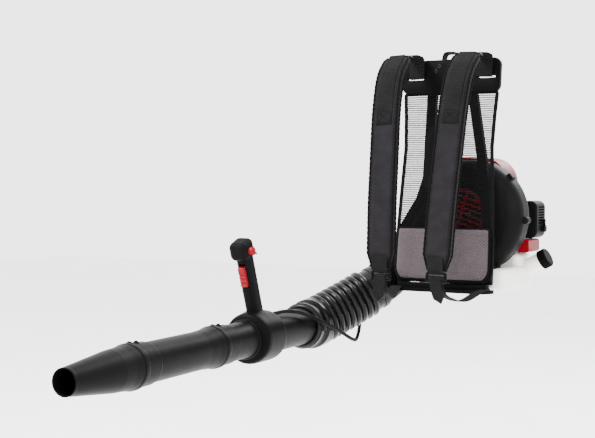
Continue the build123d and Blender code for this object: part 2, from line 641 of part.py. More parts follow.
def make_air_cleaner():
    low, high = CLEANER_BOX
    body = between(low, high)
    body = fillet(body.edges().filter_by(Axis.Y), CLEANER_ROUND)
    body = fillet(body.edges().group_by(Axis.X)[-1], 4)
    hollow = between([l + CLEANER_WALL for l in low], [h - CLEANER_WALL for h in high])
    hollow = fillet(hollow.edges().filter_by(Axis.Y), CLEANER_ROUND - CLEANER_WALL)
    body -= hollow
    back_plate_x = low[0] + 6
    cover = body & between((back_plate_x, 0, 0), (high[0] + 9, 400, 400))
    slot_count = 7
    pitch = (high[2] - low[2] - 44) / slot_count
    for i in range(slot_count):
        z = low[2] + 34 + i * pitch
        cover -= between((high[0] - 6, low[1] + 12, z), (high[0] + 5, high[1] - 12, z + pitch * 0.5))
    keep("air_cleaner_cover", cover)
    base = body & between((low[0] - 5, 0, 0), (back_plate_x - SEAT_GAP, 400, 400))
    base -= Pos(low[0], CRANK_MID, FAN_Z) * Rot(0, 90, 0) * Cylinder(9, 30)
    keep("air_cleaner_base", base)
    filter_low = [l + CLEANER_WALL + 6 for l in low]
    filter_high = [high[0] - 18, high[1] - CLEANER_WALL - 6, high[2] - CLEANER_WALL - 6]
    keep("air_filter", fillet(between(filter_low, filter_high).edges().filter_by(Axis.X), 6))
    pivot = (high[0] + RUN_GAP, high[1] - 22, low[2] + 22)
    knob = Pos(pivot[0] + 4, pivot[1], pivot[2]) * Rot(0, 90, 0) * Cylinder(8, 8)
    knob += between((pivot[0] + 1, pivot[1] - 3, pivot[2]), (pivot[0] + 7, pivot[1] + 3, pivot[2] + 22))
    keep("choke_lever", knob)
    return pivot


def make_covers(deck):
    low = (FAN_X - 60, CASE_BACK + 2, deck + 2)
    high = (FAN_X + 76, CRANK_BACK + 0.5, FAN_Z + 132)
    hood = between(low, high)
    crown = hood.edges().filter_by(Axis.Y).group_by(Axis.Z)[-1]
    hood = fillet(crown.sort_by(Axis.X)[-1], 60)
    hood = fillet(hood.edges().filter_by(Axis.Y).group_by(Axis.Z)[-1].sort_by(Axis.X)[0], 26)
    inner = Pos(0, 0, -3) * hood
    wall = 3.0
    cut = between((low[0] + wall, low[1] + wall, 0), (high[0] - wall, high[1] - wall, high[2] - wall))
    hood -= inner & cut
    right_opening = between((FAN_X + 40, CRANK_FRONT + 4, 0), (high[0] + 5, high[1] - 6, deck + 8))
    left_opening = between((low[0] - 5, CRANK_FRONT + 4, 0), (FAN_X - 34, CRANK_BACK - 4, FAN_Z + 96))
    keep("engine_cover", hood - right_opening - left_opening)
    cowl_low = (108.0, 162.0, TANK_BOX[1][2] + 2)
    cowl_high = (150.0, 236.0, CLEANER_BOX[0][2] - 2)
    cowl = fillet(between(cowl_low, cowl_high).edges().filter_by(Axis.Y), 6)
    shell = between([c + wall for c in cowl_low], [c - wall for c in cowl_high[:2]] + [cowl_high[2] - wall])
    shell = Pos(-6, 0, 0) * shell
    keep("lower_cowl", cowl - shell)


def make_starter():
    cup = along_y(STARTER_RADIUS, STARTER_FRONT, STARTER_BACK)
    cup = fillet(cup.edges().filter_by(GeomType.CIRCLE).sort_by(Axis.Y)[-1], 8)
    cup -= along_y(STARTER_RADIUS - STARTER_WALL, STARTER_FRONT - 1, STARTER_BACK - STARTER_WALL)
    vents = 10
    for i in range(vents):
        spin = Rot(0, i * 360 / vents, 0)
        cup -= Pos(FAN_X, STARTER_BACK, FAN_Z) * spin * Pos(44, 0, 0) * Box(18, 12, 7)
    post = along_y(7, STARTER_BACK - 16, STARTER_BACK - STARTER_WALL)
    rope_z = FAN_Z - PULLEY_RADIUS - ROPE_RADIUS - SEAT_GAP
    rope_y = STARTER_BACK - 10
    exit_bore = Pos(FAN_X - STARTER_RADIUS, rope_y, rope_z) * Rot(0, 90, 0) * Cylinder(ROPE_RADIUS + RUN_GAP, 30)
    keep("starter_housing", cup + post - exit_bore)
    half = PULLEY_THICK / 2
    pulley = ring_y(PULLEY_RADIUS, 7 + SHAFT_GAP, rope_y - half, rope_y + half)
    keep("starter_pulley", pulley)
    grip_x = FAN_X - STARTER_RADIUS - 12
    grip = Pos(grip_x, rope_y, rope_z) * Box(14, 18, 46)
    grip = fillet(grip.edges().filter_by(Axis.Y), 5)
    rope = Pos((FAN_X + grip_x + 7) / 2, rope_y, rope_z) * Rot(0, 90, 0) * Cylinder(ROPE_RADIUS, FAN_X - grip_x - 7)
    keep("starter_handle", group([grip, rope]))


def neck_plane():
    """The filler neck's axis, rising from the tank's right shoulder."""
    tilt = radians(NECK_TILT)
    return Plane(origin=(TANK_BOX[1][0] + 8, (TANK_BOX[0][1] + TANK_BOX[1][1]) / 2, TANK_BOX[1][2] - 34),
                 x_dir=(0, 1, 0), z_dir=(sin(tilt), 0, cos(tilt)))


def make_tank():
    low, high = TANK_BOX
    lobe_low, lobe_high = TANK_LOBE
    body = fillet(between(low, high).edges(), TANK_ROUND) + fillet(between(lobe_low, lobe_high).edges(), TANK_ROUND)
    neck = neck_plane()
    middle = Pos(0, 0, (NECK_TIP - NECK_ROOT) / 2)
    body += neck.location * middle * Cylinder(NECK_RADIUS + 2, NECK_TIP + NECK_ROOT)
    hollow = Part()
    for corner, far_corner in ((low, high), (lobe_low, lobe_high)):
        inner = between([c + TANK_WALL for c in corner], [c - TANK_WALL for c in far_corner])
        hollow += fillet(inner.edges(), TANK_ROUND - TANK_WALL)
    bore = neck.location * middle * Cylinder(NECK_RADIUS - TANK_WALL, NECK_TIP + NECK_ROOT + 1)
    keep("fuel_tank", body - hollow - bore)
    low_rim = NECK_TIP - CAP_COVER
    cap = Pos(0, 0, low_rim + CAP_HEIGHT / 2) * Cylinder(CAP_RADIUS, CAP_HEIGHT)
    cap = fillet(cap.edges().filter_by(GeomType.CIRCLE).sort_by(Axis.Z)[-1], 3)
    for i in range(CAP_RIBS):
        rib = Pos(CAP_RADIUS, 0, low_rim + CAP_HEIGHT / 2 - 1.5) * Box(1.6, 2.2, CAP_HEIGHT - 3)
        cap += Rot(0, 0, i * 360 / CAP_RIBS) * rib
    cap -= Pos(0, 0, low_rim + CAP_COVER / 2) * Cylinder(NECK_RADIUS + 2 + RUN_GAP, CAP_COVER + 2 * RUN_GAP)
    keep("fuel_cap", neck.location * cap)


def make_fuel_lines():
    lines = []
    top = TANK_BOX[1][2]
    for x in (CARB_X + 4.5, CARB_X + CARB_SIZE[0] - 4.5):
        points = [Vector(x, 178, top + 1), Vector(x, 173, top + 24), Vector(x, 184, top + 48),
                  Vector(x, 186, FAN_Z - 18.5)]
        lines.append(swept_round(points, 2.5))
    keep("fuel_lines", group(lines))


# ================================================================ air pipe
def elbow_points():
    return [DUCT_END, DUCT_END + DUCT_DIR * ELBOW_RUN, HOSE_REAR - HOSE_REAR_DIR * ELBOW_RUN, HOSE_REAR]


def hose_points():
    start = HOSE_REAR - HOSE_REAR_DIR * SLEEVE
    mouth = CUFF - TUBE_DIR * HOSE_MOUTH
    return [start, HOSE_REAR + HOSE_REAR_DIR * HOSE_RUN, CUFF - TUBE_DIR * HOSE_RUN, mouth]


def hose_middle(radius, cuff):
    """The hose's route as a solid bar, without a length of cuff at either end."""
    bar = swept_round(hose_points(), radius)
    rear = Plane(origin=hose_points()[0], z_dir=HOSE_REAR_DIR)
    front = Plane(origin=hose_points()[-1], z_dir=-TUBE_DIR)
    for end in (rear, front):
        bar -= end.location * Pos(0, 0, cuff / 2 - 5) * Cylinder(2 * radius, cuff + 10)
    return bar


def make_hose():
    keep("outlet_elbow", swept_round(elbow_points(), DUCT_RADIUS, DUCT_RADIUS - ELBOW_WALL))
    bore = DUCT_RADIUS + RUN_GAP
    cuffs = swept_round(hose_points(), HOSE_OUTER)
    outside = cuffs + hose_middle(HOSE_CREST, HOSE_CUFF)
    inside = swept_round(hose_points(), bore) + hose_middle(HOSE_CREST - HOSE_WALL, HOSE_CUFF + HOSE_WALL)
    keep("bellows_hose", outside - inside)
    rear = Plane(origin=HOSE_REAR - HOSE_REAR_DIR * (SLEEVE - 6), z_dir=HOSE_REAR_DIR)
    keep("rear_hose_clamp", rear.location * clamp_band())
    front = Plane(origin=CUFF - TUBE_DIR * (HOSE_MOUTH + 17), z_dir=TUBE_DIR, x_dir=TUBE_SIDE)
    keep("front_hose_clamp", front.location * clamp_band())


def clamp_band():
    """A round worm-drive clamp with its screw housing on one side."""
    inner = HOSE_OUTER + RUN_GAP
    band = pipe(inner + 1.5, inner, 0, 10)
    housing = Pos(inner + 4, 0, 5) * Box(8, 16, 10)
    return band + (housing - Cylinder(inner, 40))


def socket(start, body_start):
    """The wide mouth of a tube that takes the end of the one behind it."""
    inner = TUBE_RADIUS + RUN_GAP
    return pipe(inner + SOCKET_WALL, inner, start, body_start)


def twist_slot(mid):
    """Cut for the peg of the tube behind, long enough for the twist."""
    width = PEG_RADIUS + 0.6
    profile = Pos(TUBE_RADIUS + 3, 0, 0) * Rectangle(12, 2 * width)
    profile = Plane.XZ.location * Pos(0, mid, 0) * profile
    extra = degrees(width / TUBE_RADIUS)
    cut = revolve(profile, Axis.Z, revolution_arc=TWIST_RANGE + 2 * extra)
    return Rot(0, 0, 90 - extra - TWIST_RANGE) * cut


def tube_body(start, end):
    return pipe(TUBE_RADIUS, TUBE_RADIUS - TUBE_WALL, start, end)


def peg(mid):
    """The round peg that stands on top of a tube's end, with a pad under it."""
    post = Pos(0, TUBE_RADIUS - 1 + PEG_HEIGHT / 2, mid) * Rot(90, 0, 0) * Cylinder(PEG_RADIUS, PEG_HEIGHT)
    return post - Pos(0, 0, mid) * Cylinder(TUBE_RADIUS - 1, 60)


def make_socketed(start, end, extra):
    """A tube with a twist socket at its rear and a peg near its front."""
    outer = TUBE_RADIUS + RUN_GAP + SOCKET_WALL
    mouth_end = start + SOCKET_LENGTH
    ring = start + SOCKET_INSET - RING_WIDTH / 2
    mouth = socket(start, mouth_end) - twist_slot(start + SOCKET_LENGTH / 2)
    step = pipe(outer, TUBE_RADIUS - TUBE_WALL, mouth_end, mouth_end + STEP_LENGTH)
    lip = pipe(outer + RING_HEIGHT, outer - 1, ring, ring + RING_WIDTH)
    return mouth + step + lip + tube_body(mouth_end + STEP_LENGTH - 0.5, end) + extra


def make_tubes():
    first_peg = RING_2 - SOCKET_INSET + SOCKET_LENGTH / 2
    second_peg = RING_1 - SOCKET_INSET + SOCKET_LENGTH / 2
    socket_2 = RING_2 - SOCKET_INSET
    socket_1 = RING_1 - SOCKET_INSET
    ring = pipe(TUBE_RADIUS + RING_HEIGHT, TUBE_RADIUS - 1, RING_3, RING_3 + 6)
    sleeve = pipe(TUBE_RADIUS + SLEEVE_WALL, TUBE_RADIUS - 1, TUBE_REAR, COLLAR_START - 1)
    rear_tube = tube_body(TUBE_REAR, socket_2 + SOCKET_LENGTH - 3) + sleeve + ring + peg(first_peg)
    keep("swivel_tube", on_tube(rear_tube))
    mid_tube = make_socketed(socket_2, socket_1 + SOCKET_LENGTH - 3, peg(second_peg))
    keep("mid_tube", on_tube(mid_tube))
    taper_start = TUBE_END - NOZZLE_TAPER
    cone = loft_cone(TUBE_RADIUS, NOZZLE_RADIUS, taper_start, TUBE_END)
    cone -= loft_cone(TUBE_RADIUS - NOZZLE_WALL, NOZZLE_RADIUS - NOZZLE_WALL, taper_start, TUBE_END)
    nozzle = make_socketed(socket_1, taper_start, cone)
    keep("nozzle", on_tube(nozzle))


def loft_cone(start_radius, end_radius, start, end):
    return Pos(0, 0, (start + end) / 2) * Cone(start_radius, end_radius, end - start)


# ================================================================ control handle
def grip_plane():
    """Grip frame: origin at its foot, +Y up the grip, +X across, +Z towards the nozzle."""
    lean = radians(GRIP_LEAN)
    up = Vector(0, cos(lean), sin(lean))
    forward = Vector(0, -sin(lean), cos(lean))
    return Plane(origin=(0, GRIP_FOOT[1], GRIP_FOOT[0]), x_dir=(1, 0, 0), z_dir=forward)


def grip_outer(shrink):
    """The grip and its head as one rounded body, smaller by shrink all round."""
    stem_face = RectangleRounded(GRIP_WIDTH - 2 * shrink, GRIP_DEPTH - 2 * shrink, 11 - shrink)
    stem = Rot(-90, 0, 0) * Pos(0, 0, -shrink) * extrude(stem_face, GRIP_LENGTH)
    head = Pos(0, GRIP_LENGTH + HEAD_HEIGHT / 2 - 6, 6) * Box(
        HEAD_WIDTH - 2 * shrink, HEAD_HEIGHT - 2 * shrink, HEAD_LENGTH - 2 * shrink)
    head = fillet(head.edges(), 12 - shrink)
    return stem + head


def make_grip():
    frame = grip_plane()
    body = grip_outer(0) - grip_outer(GRIP_WALL)
    window = Pos(0, TRIGGER_RISE, GRIP_DEPTH / 2) * Box(
        TRIGGER_WIDTH + 2 * RUN_GAP + 1, TRIGGER_LENGTH + 8, 20)
    body -= window
    pin_at = Pos(0, TRIGGER_RISE + TRIGGER_LENGTH / 2 - 6, GRIP_DEPTH / 2 - 0.5)
    pin = pin_at * Rot(0, 90, 0) * Cylinder(2, TRIGGER_WIDTH + 4)
    knob_at = Pos(HEAD_WIDTH / 2, GRIP_LENGTH + HEAD_HEIGHT / 2 - 8, 8)
    stub_bore = knob_at * Rot(0, 90, 0) * Cylinder(4 + SHAFT_GAP, 20)
    body -= stub_bore
    left = body & between((-90, -90, -90), (0, 300, 300))
    right = body & between((0, -90, -90), (90, 300, 300))
    tube_clear = Pos(0, 0, GRIP_FOOT[0]) * Cylinder(COLLAR_OUTER, 300)
    for name, half in (("left", left), ("right", right)):
        placed = frame.location * half - tube_clear
        keep("grip_shell_" + name, on_tube(placed))
    trigger = Pos(0, TRIGGER_RISE - 1, GRIP_DEPTH / 2 + 2) * Box(TRIGGER_WIDTH, TRIGGER_LENGTH, TRIGGER_DEPTH)
    trigger = fillet(trigger.edges().filter_by(Axis.X), 4)
    trigger -= pin_at * Rot(0, 90, 0) * Cylinder(2 + SHAFT_GAP, 60)
    for i in range(3):
        rib_y = TRIGGER_RISE - TRIGGER_LENGTH / 2 + 8 + i * 9
        trigger -= Pos(0, rib_y, GRIP_DEPTH / 2 + 2 + TRIGGER_DEPTH / 2 + 2) * Rot(0, 90, 0) * Cylinder(3.5, 60)
    keep("throttle_trigger", on_tube(frame.location * trigger))
    keep("trigger_pin", on_tube(frame.location * pin))
    knob = knob_at * Pos(KNOB_THICK / 2 + RUN_GAP, 0, 0) * Rot(0, 90, 0) * Cylinder(KNOB_RADIUS, KNOB_THICK)
    knob += knob_at * Rot(0, 90, 0) * Cylinder(4, 12)
    tip = [(0, -5), (LEVER_REACH, -1.5), (LEVER_REACH, 1.5), (0, 5)]
    blade = extrude(make_face(Polyline(*[(-x, y) for x, y in tip], close=True)), KNOB_THICK / 2)
    knob += knob_at * Pos(RUN_GAP, 0, 0) * Rot(0, 90, 0) * Rot(0, 0, LEVER_TURN) * blade
    keep("cruise_lever", on_tube(frame.location * knob))


def make_collar():
    """The handle's collar: a wide band, closed at the rear, turning on the tube by a sleeve."""
    inner = TUBE_RADIUS + RUN_GAP
    rear_end = COLLAR_START + COLLAR_ROUND
    band = pipe(COLLAR_OUTER, COLLAR_OUTER - COLLAR_WALL, rear_end, COLLAR_END)
    shoulder = loft_cone(COLLAR_OUTER - COLLAR_ROUND / 2, COLLAR_OUTER, COLLAR_START, rear_end)
    shoulder -= Pos(0, 0, COLLAR_START) * Cylinder(inner, 200)
    sleeve = pipe(inner + COLLAR_WALL, inner, COLLAR_START, COLLAR_END - 22)
    collar = band + shoulder + sleeve
    slant = Pos(0, -COLLAR_OUTER, COLLAR_END) * Rot(COLLAR_SLANT, 0, 0) * Pos(0, 0, 40) * Box(300, 300, 80)
    keep("handle_collar", on_tube(collar - slant))


# ================================================================ throttle cable
def on_axis(side, up, distance):
    """A point given across the tube, over its axis and along it."""
    return CUFF + TUBE_SIDE * side + Vector(0, 0, up) + TUBE_DIR * distance


def make_cable():
    """The throttle cable in its loom, from the collar round under the hose to the carburettor."""
    along = [on_axis(16, 45, COLLAR_START - 2), Vector(-238, -290, -28), Vector(-231, -236, -36),
             Vector(-222, -204, -48), Vector(-208, -182, -61), Vector(-203, -143, -76), Vector(-203, -96, -94),
             Vector(-199, -58, -112), Vector(-204, -22, -121), Vector(-208, 0, -99), Vector(-219, 26, -80),
             Vector(-238, 66, -48), Vector(-246, 96, 20), Vector(-222, 134, 72), Vector(-168, 166, 94),
             Vector(-92, 169, 92), Vector(-34, 168, 98), Vector(4, 170, 110), Vector(52, 168, 120),
             Vector(80, 166, 140), Vector(87, 165, 172)]
    collar_side = (along[3] + along[4]) / 2
    hose_side = (along[6] + along[7]) / 2
    first = along[:4] + [collar_side]
    second = [collar_side] + along[4:7] + [hose_side]
    third = [hose_side] + along[7:]
    for name, points in (("front", first), ("middle", second), ("rear", third)):
        cable = swept_round(points, CABLE_RADIUS)
        path = route(points)
        print(name, "cable radii", [round(r, 1) for r in bend_radii(points)],
              "volume ratio", round(cable.volume / (pi * CABLE_RADIUS ** 2 * path.length), 4))
        keep("throttle_cable_" + name, cable)


def main():
    make_base()
    make_uprights()
    make_yoke()
    make_back()
    make_carry_handle()
    make_straps()
    make_casing()
    make_grille()
    make_fan()
    deck = make_crank()
    make_cylinder(deck)
    make_ignition()
    make_muffler(deck)
    make_carburettor()
    make_air_cleaner()
    make_covers(deck)
    make_starter()
    make_tank()
    make_fuel_lines()
    make_hose()
    make_tubes()
    make_grip()
    make_collar()
    make_cable()
    os.makedirs("parts", exist_ok=True)
    for name, shape in PARTS.items():
        export_step(shape, f"parts/{name}.step")


main()
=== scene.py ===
"""Backpack leaf blower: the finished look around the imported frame.

Everything is in metres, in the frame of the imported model: +Z up, -Y towards the wearer.
New pieces are surfaces worked out with numpy: a grid of two parameters, or a profile along a path.
"""
import bpy
import json
import math
import numpy as np
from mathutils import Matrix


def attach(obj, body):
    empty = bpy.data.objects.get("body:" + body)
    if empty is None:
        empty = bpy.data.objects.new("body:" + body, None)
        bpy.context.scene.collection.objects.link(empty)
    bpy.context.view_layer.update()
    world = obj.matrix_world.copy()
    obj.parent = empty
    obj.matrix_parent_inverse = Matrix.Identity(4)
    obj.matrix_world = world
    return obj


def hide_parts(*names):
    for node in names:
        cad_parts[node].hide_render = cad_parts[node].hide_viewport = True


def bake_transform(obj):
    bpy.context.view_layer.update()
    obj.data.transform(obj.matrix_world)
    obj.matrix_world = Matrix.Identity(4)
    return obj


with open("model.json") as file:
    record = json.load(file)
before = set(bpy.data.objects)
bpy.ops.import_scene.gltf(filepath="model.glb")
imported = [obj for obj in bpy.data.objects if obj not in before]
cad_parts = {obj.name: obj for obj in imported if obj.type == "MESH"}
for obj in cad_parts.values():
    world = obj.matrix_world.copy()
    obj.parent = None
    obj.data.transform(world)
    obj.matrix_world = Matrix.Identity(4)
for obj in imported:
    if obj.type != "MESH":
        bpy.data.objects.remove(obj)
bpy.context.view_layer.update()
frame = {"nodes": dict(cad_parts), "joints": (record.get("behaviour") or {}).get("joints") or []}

nodes = frame["nodes"]


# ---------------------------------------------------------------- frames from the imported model
def vec(*xyz):
    return np.array(xyz, float)


def unit(v):
    v = np.asarray(v, float)
    return v / np.linalg.norm(v, axis=-1, keepdims=True)


JOINTS = {j["name"]: j for j in frame["joints"]}


def joint_at(name):
    return vec(*JOINTS[name]["pos_m"])


def joint_axis(name):
    return unit(vec(*JOINTS[name]["axis"]))


TUBE_DIR = joint_axis("handle_turn")
TUBE_SIDE = -joint_axis("tube_tilt")
TUBE_UP = np.cross(TUBE_DIR, TUBE_SIDE)
COLLAR_START = 0.155
HOSE_RUN = 0.075
HOSE_MOUTH = 0.012
CUFF = joint_at("handle_turn") - COLLAR_START * TUBE_DIR
HOSE_REAR = vec(-0.190, 0.025, -0.006)
HOSE_REAR_DIR = unit(vec(-0.55, -0.70, -0.45))


def on_tube(side, up, along):
    """Points given across the blower tube, over its axis and along it from the cuff."""
    side, up, along = (np.asarray(c, float)[..., None] for c in (side, up, along))
    return CUFF + side * TUBE_SIDE + up * TUBE_UP + along * TUBE_DIR


# ---------------------------------------------------------------- surfaces
def mesh_piece(name, verts, faces, uv=None, smooth=True):
    """An object at the origin from arrays of vertices and faces, normals outward."""
    import bmesh
    mesh = bpy.data.meshes.new(name)
    mesh.from_pydata(np.asarray(verts, float).reshape(-1, 3).tolist(), [], faces)
    if uv is not None:
        layer = mesh.uv_layers.new(name="UVMap")
        loops = np.empty(len(mesh.loops), np.int32)
        mesh.loops.foreach_get("vertex_index", loops)
        layer.data.foreach_set("uv", np.asarray(uv, float).reshape(-1, 2)[loops].astype(np.float32).ravel())
    work = bmesh.new()
    work.from_mesh(mesh)
    bmesh.ops.recalc_face_normals(work, faces=work.faces)
    work.to_mesh(mesh)
    work.free()
    mesh.polygons.foreach_set("use_smooth", np.full(len(mesh.polygons), smooth))
    piece = bpy.data.objects.new(name, mesh)
    bpy.context.scene.collection.objects.link(piece)
    return piece


def grid_faces(rows, columns, wrap_rows=False, wrap_columns=True, first=0):
    """Quads of a rows by columns grid, either way closed on itself."""
    i = np.arange(rows if wrap_rows else rows - 1)[:, None]
    j = np.arange(columns if wrap_columns else columns - 1)[None, :]
    a = i * columns + j
    b = i * columns + (j + 1) % columns
    c = ((i + 1) % rows) * columns + (j + 1) % columns
    d = ((i + 1) % rows) * columns + j
    return (first + np.stack([a, b, c, d], -1).reshape(-1, 4)).tolist()


def along(line):
    """Distance along a line of points."""
    return np.concatenate([[0], np.cumsum(np.linalg.norm(np.diff(line, axis=0), axis=1))])


def frames(line, side):
    """Tangent, side and face directions along a line, with the side kept near a given one."""
    tangent = unit(np.gradient(line, axis=0))
    side = np.broadcast_to(side, line.shape)
    across = unit(side - (side * tangent).sum(1, keepdims=True) * tangent)
    return tangent, across, np.cross(tangent, across)


def carried(line, side, x, y):
    """A closed profile carried along a line by its across and outward offsets, one row of them per point."""
    _, across, face = frames(line, side)
    return line[:, None] + x[..., None] * across[:, None] + y[..., None] * face[:, None]


def superellipse(columns, power):
    """Unit points round a rounded rectangle; a higher power is squarer."""
    a = np.linspace(0, 2 * math.pi, columns, endpoint=False)
    c, s = np.cos(a), np.sin(a)
    return np.sign(c) * np.abs(c) ** (2 / power), np.sign(s) * np.abs(s) ** (2 / power)


def band_uv(line, columns, width):
    """UVs in metres: across a band and along it."""
    run = along(line)
    u = np.linspace(0, width, columns)
    return np.stack(np.broadcast_arrays(u[None, :], run[:, None]), -1)


def noise_along(run, scale, seed, octaves=3):
    """Smooth noise on an array of distances: sums of sines with seeded phases."""
    rand = np.random.default_rng(seed)
    total = np.zeros_like(run)
    for k in range(octaves):
        total += np.sin(run / scale * (1.7 ** k) * 2 * math.pi + rand.uniform(0, 6.28)) / (1.5 ** k)
    return total / octaves


# ---------------------------------------------------------------- materials
def shader(name):
    """A new node material and a short way to add and link its nodes."""
    mat = bpy.data.materials.new(name)
    mat.use_nodes = True
    tree = mat.node_tree
    bsdf = tree.nodes["Principled BSDF"]

    def add(kind, **values):
        node = tree.nodes.new(kind)
        for key, value in values.items():
            if key in node.inputs:
                node.inputs[key].default_value = value
            else:
                setattr(node, key, value)
        return node

    return mat, tree, bsdf, add


def ramp(add, stops):
    node = add("ShaderNodeValToRGB")
    while len(node.color_ramp.elements) < len(stops):
        node.color_ramp.elements.new(0.5)
    for element, (place, color) in zip(node.color_ramp.elements, stops):
        element.position = place
        element.color = (*color, 1)
    return node


def scaled(color, factor):
    return tuple(min(1.0, c * factor) for c in color)


def moulded(name, color, rough=0.42, grain=900, bump=0.06, wear=0.25, gloss=0.03):
    """Moulded plastic: fine spark-eroded grain, broad shade changes and a little scuffing."""
    mat, tree, bsdf, add = shader(name)
    place = add("ShaderNodeTexCoord")
    broad = add("ShaderNodeTexNoise", Scale=9.0, Detail=5.0)
    fine = add("ShaderNodeTexNoise", Scale=float(grain), Detail=2.0)
    tint = ramp(add, [(0.3, scaled(color, 0.82)), (0.7, scaled(color, 1.2))])
    spread = add("ShaderNodeMapRange")
    spread.inputs["To Min"].default_value = rough * (1 - wear * 0.5)
    spread.inputs["To Max"].default_value = rough * (1 + wear)
    scuff = add("ShaderNodeTexNoise", Scale=60.0, Detail=6.0, Roughness=0.7)
    dent = add("ShaderNodeBump", Strength=bump, Distance=0.0004)
    for node in (broad, fine, scuff):
        tree.links.new(place.outputs["Object"], node.inputs["Vector"])
    tree.links.new(broad.outputs["Fac"], tint.inputs["Fac"])
    tree.links.new(tint.outputs["Color"], bsdf.inputs["Base Color"])
    tree.links.new(scuff.outputs["Fac"], spread.inputs["Value"])
    tree.links.new(spread.outputs["Result"], bsdf.inputs["Roughness"])
    tree.links.new(fine.outputs["Fac"], dent.inputs["Height"])
    tree.links.new(dent.outputs["Normal"], bsdf.inputs["Normal"])
    bsdf.inputs["Specular IOR Level"].default_value = gloss
    bsdf.inputs["Specular Tint"].default_value = (0.55, 0.55, 0.56, 1)
    return mat


def metal(name, color, rough=0.3, lines=(1, 1, 40)):
    """Machined or cast metal: streaks one way in the roughness and a light bump."""
    mat, tree, bsdf, add = shader(name)
    place = add("ShaderNodeTexCoord")
    stretch = add("ShaderNodeMapping")
    stretch.inputs["Scale"].default_value = lines
    streak = add("ShaderNodeTexNoise", Scale=60.0, Detail=6.0)
    tint = ramp(add, [(0.25, scaled(color, 0.75)), (0.75, scaled(color, 1.1))])
    spread = add("ShaderNodeMapRange")
    spread.inputs["To Min"].default_value = rough * 0.7
    spread.inputs["To Max"].default_value = rough * 1.5
    dent = add("ShaderNodeBump", Strength=0.12, Distance=0.0004)
    tree.links.new(place.outputs["Object"], stretch.inputs["Vector"])
    tree.links.new(stretch.outputs["Vector"], streak.inputs["Vector"])
    tree.links.new(streak.outputs["Fac"], tint.inputs["Fac"])
    tree.links.new(tint.outputs["Color"], bsdf.inputs["Base Color"])
    tree.links.new(streak.outputs["Fac"], spread.inputs["Value"])
    tree.links.new(spread.outputs["Result"], bsdf.inputs["Roughness"])
    tree.links.new(streak.outputs["Fac"], dent.inputs["Height"])
    tree.links.new(dent.outputs["Normal"], bsdf.inputs["Normal"])
    bsdf.inputs["Metallic"].default_value = 1.0
    return mat


WAVE_RATE = math.pi / 10    # a wave texture's bands repeat every WAVE_RATE / Scale metres


def cloth(name, color, pitch=0.0011, source="UV", sheen=0.35, bump=0.5, rough=0.85, tilt=45.0, mottle=0.2,
          ribs=None):
    """Woven cloth: two crossed sets of threads, a mottled dye and a soft sheen, with coarser ribs if asked. The dye
    is darkened between the threads and in the rib grooves: painted shade in the weave's hollows.
    """
    mat, tree, bsdf, add = shader(name)
    place = add("ShaderNodeTexCoord")
    turn = add("ShaderNodeMapping")
    turn.inputs["Rotation"].default_value = (0, 0, math.radians(tilt))
    tree.links.new(place.outputs[source], turn.inputs["Vector"])
    waves = []
    for direction in ("X", "Y"):
        wave = add("ShaderNodeTexWave", wave_type="BANDS", bands_direction=direction,
                   Scale=WAVE_RATE / pitch, Distortion=0.6)
        tree.links.new(turn.outputs["Vector"], wave.inputs["Vector"])
        waves.append(wave)
    weave = add("ShaderNodeMath", operation="MAXIMUM")
    tree.links.new(waves[0].outputs["Fac"], weave.inputs[0])
    tree.links.new(waves[1].outputs["Fac"], weave.inputs[1])
    height = weave.outputs[0]
    if ribs:
        rib = add("ShaderNodeTexWave", wave_type="BANDS", bands_direction="Y",
                  Scale=WAVE_RATE / ribs, Distortion=0.2)
        tree.links.new(place.outputs[source], rib.inputs["Vector"])
        both = add("ShaderNodeMath", operation="MULTIPLY_ADD")
        tree.links.new(rib.outputs["Fac"], both.inputs[0])
        both.inputs[1].default_value = 1.6
        tree.links.new(weave.outputs[0], both.inputs[2])
        height = both.outputs[0]
    dye = add("ShaderNodeTexNoise", Scale=35.0, Detail=4.0)
    tree.links.new(place.outputs["Object"], dye.inputs["Vector"])
    tint = ramp(add, [(0.3, scaled(color, 1 - mottle)), (0.7, scaled(color, 1 + mottle))])
    tree.links.new(dye.outputs["Fac"], tint.inputs["Fac"])
    # painted shade: the thread and rib height darkens the dye in the hollows between threads and in the rib grooves
    shade = add("ShaderNodeMix", data_type="RGBA", blend_type="MULTIPLY")
    shade.inputs["Factor"].default_value = 0.45
    tree.links.new(tint.outputs["Color"], shade.inputs["A"])
    tree.links.new(height, shade.inputs["B"])
    tree.links.new(shade.outputs["Result"], bsdf.inputs["Base Color"])
    dent = add("ShaderNodeBump", Strength=bump, Distance=pitch * 0.35)
    tree.links.new(height, dent.inputs["Height"])
    tree.links.new(dent.outputs["Normal"], bsdf.inputs["Normal"])
    bsdf.inputs["Roughness"].default_value = rough
    bsdf.inputs["Sheen Weight"].default_value = sheen
    bsdf.inputs["Sheen Roughness"].default_value = 0.45
    bsdf.inputs["Specular IOR Level"].default_value = 0.04
    return mat


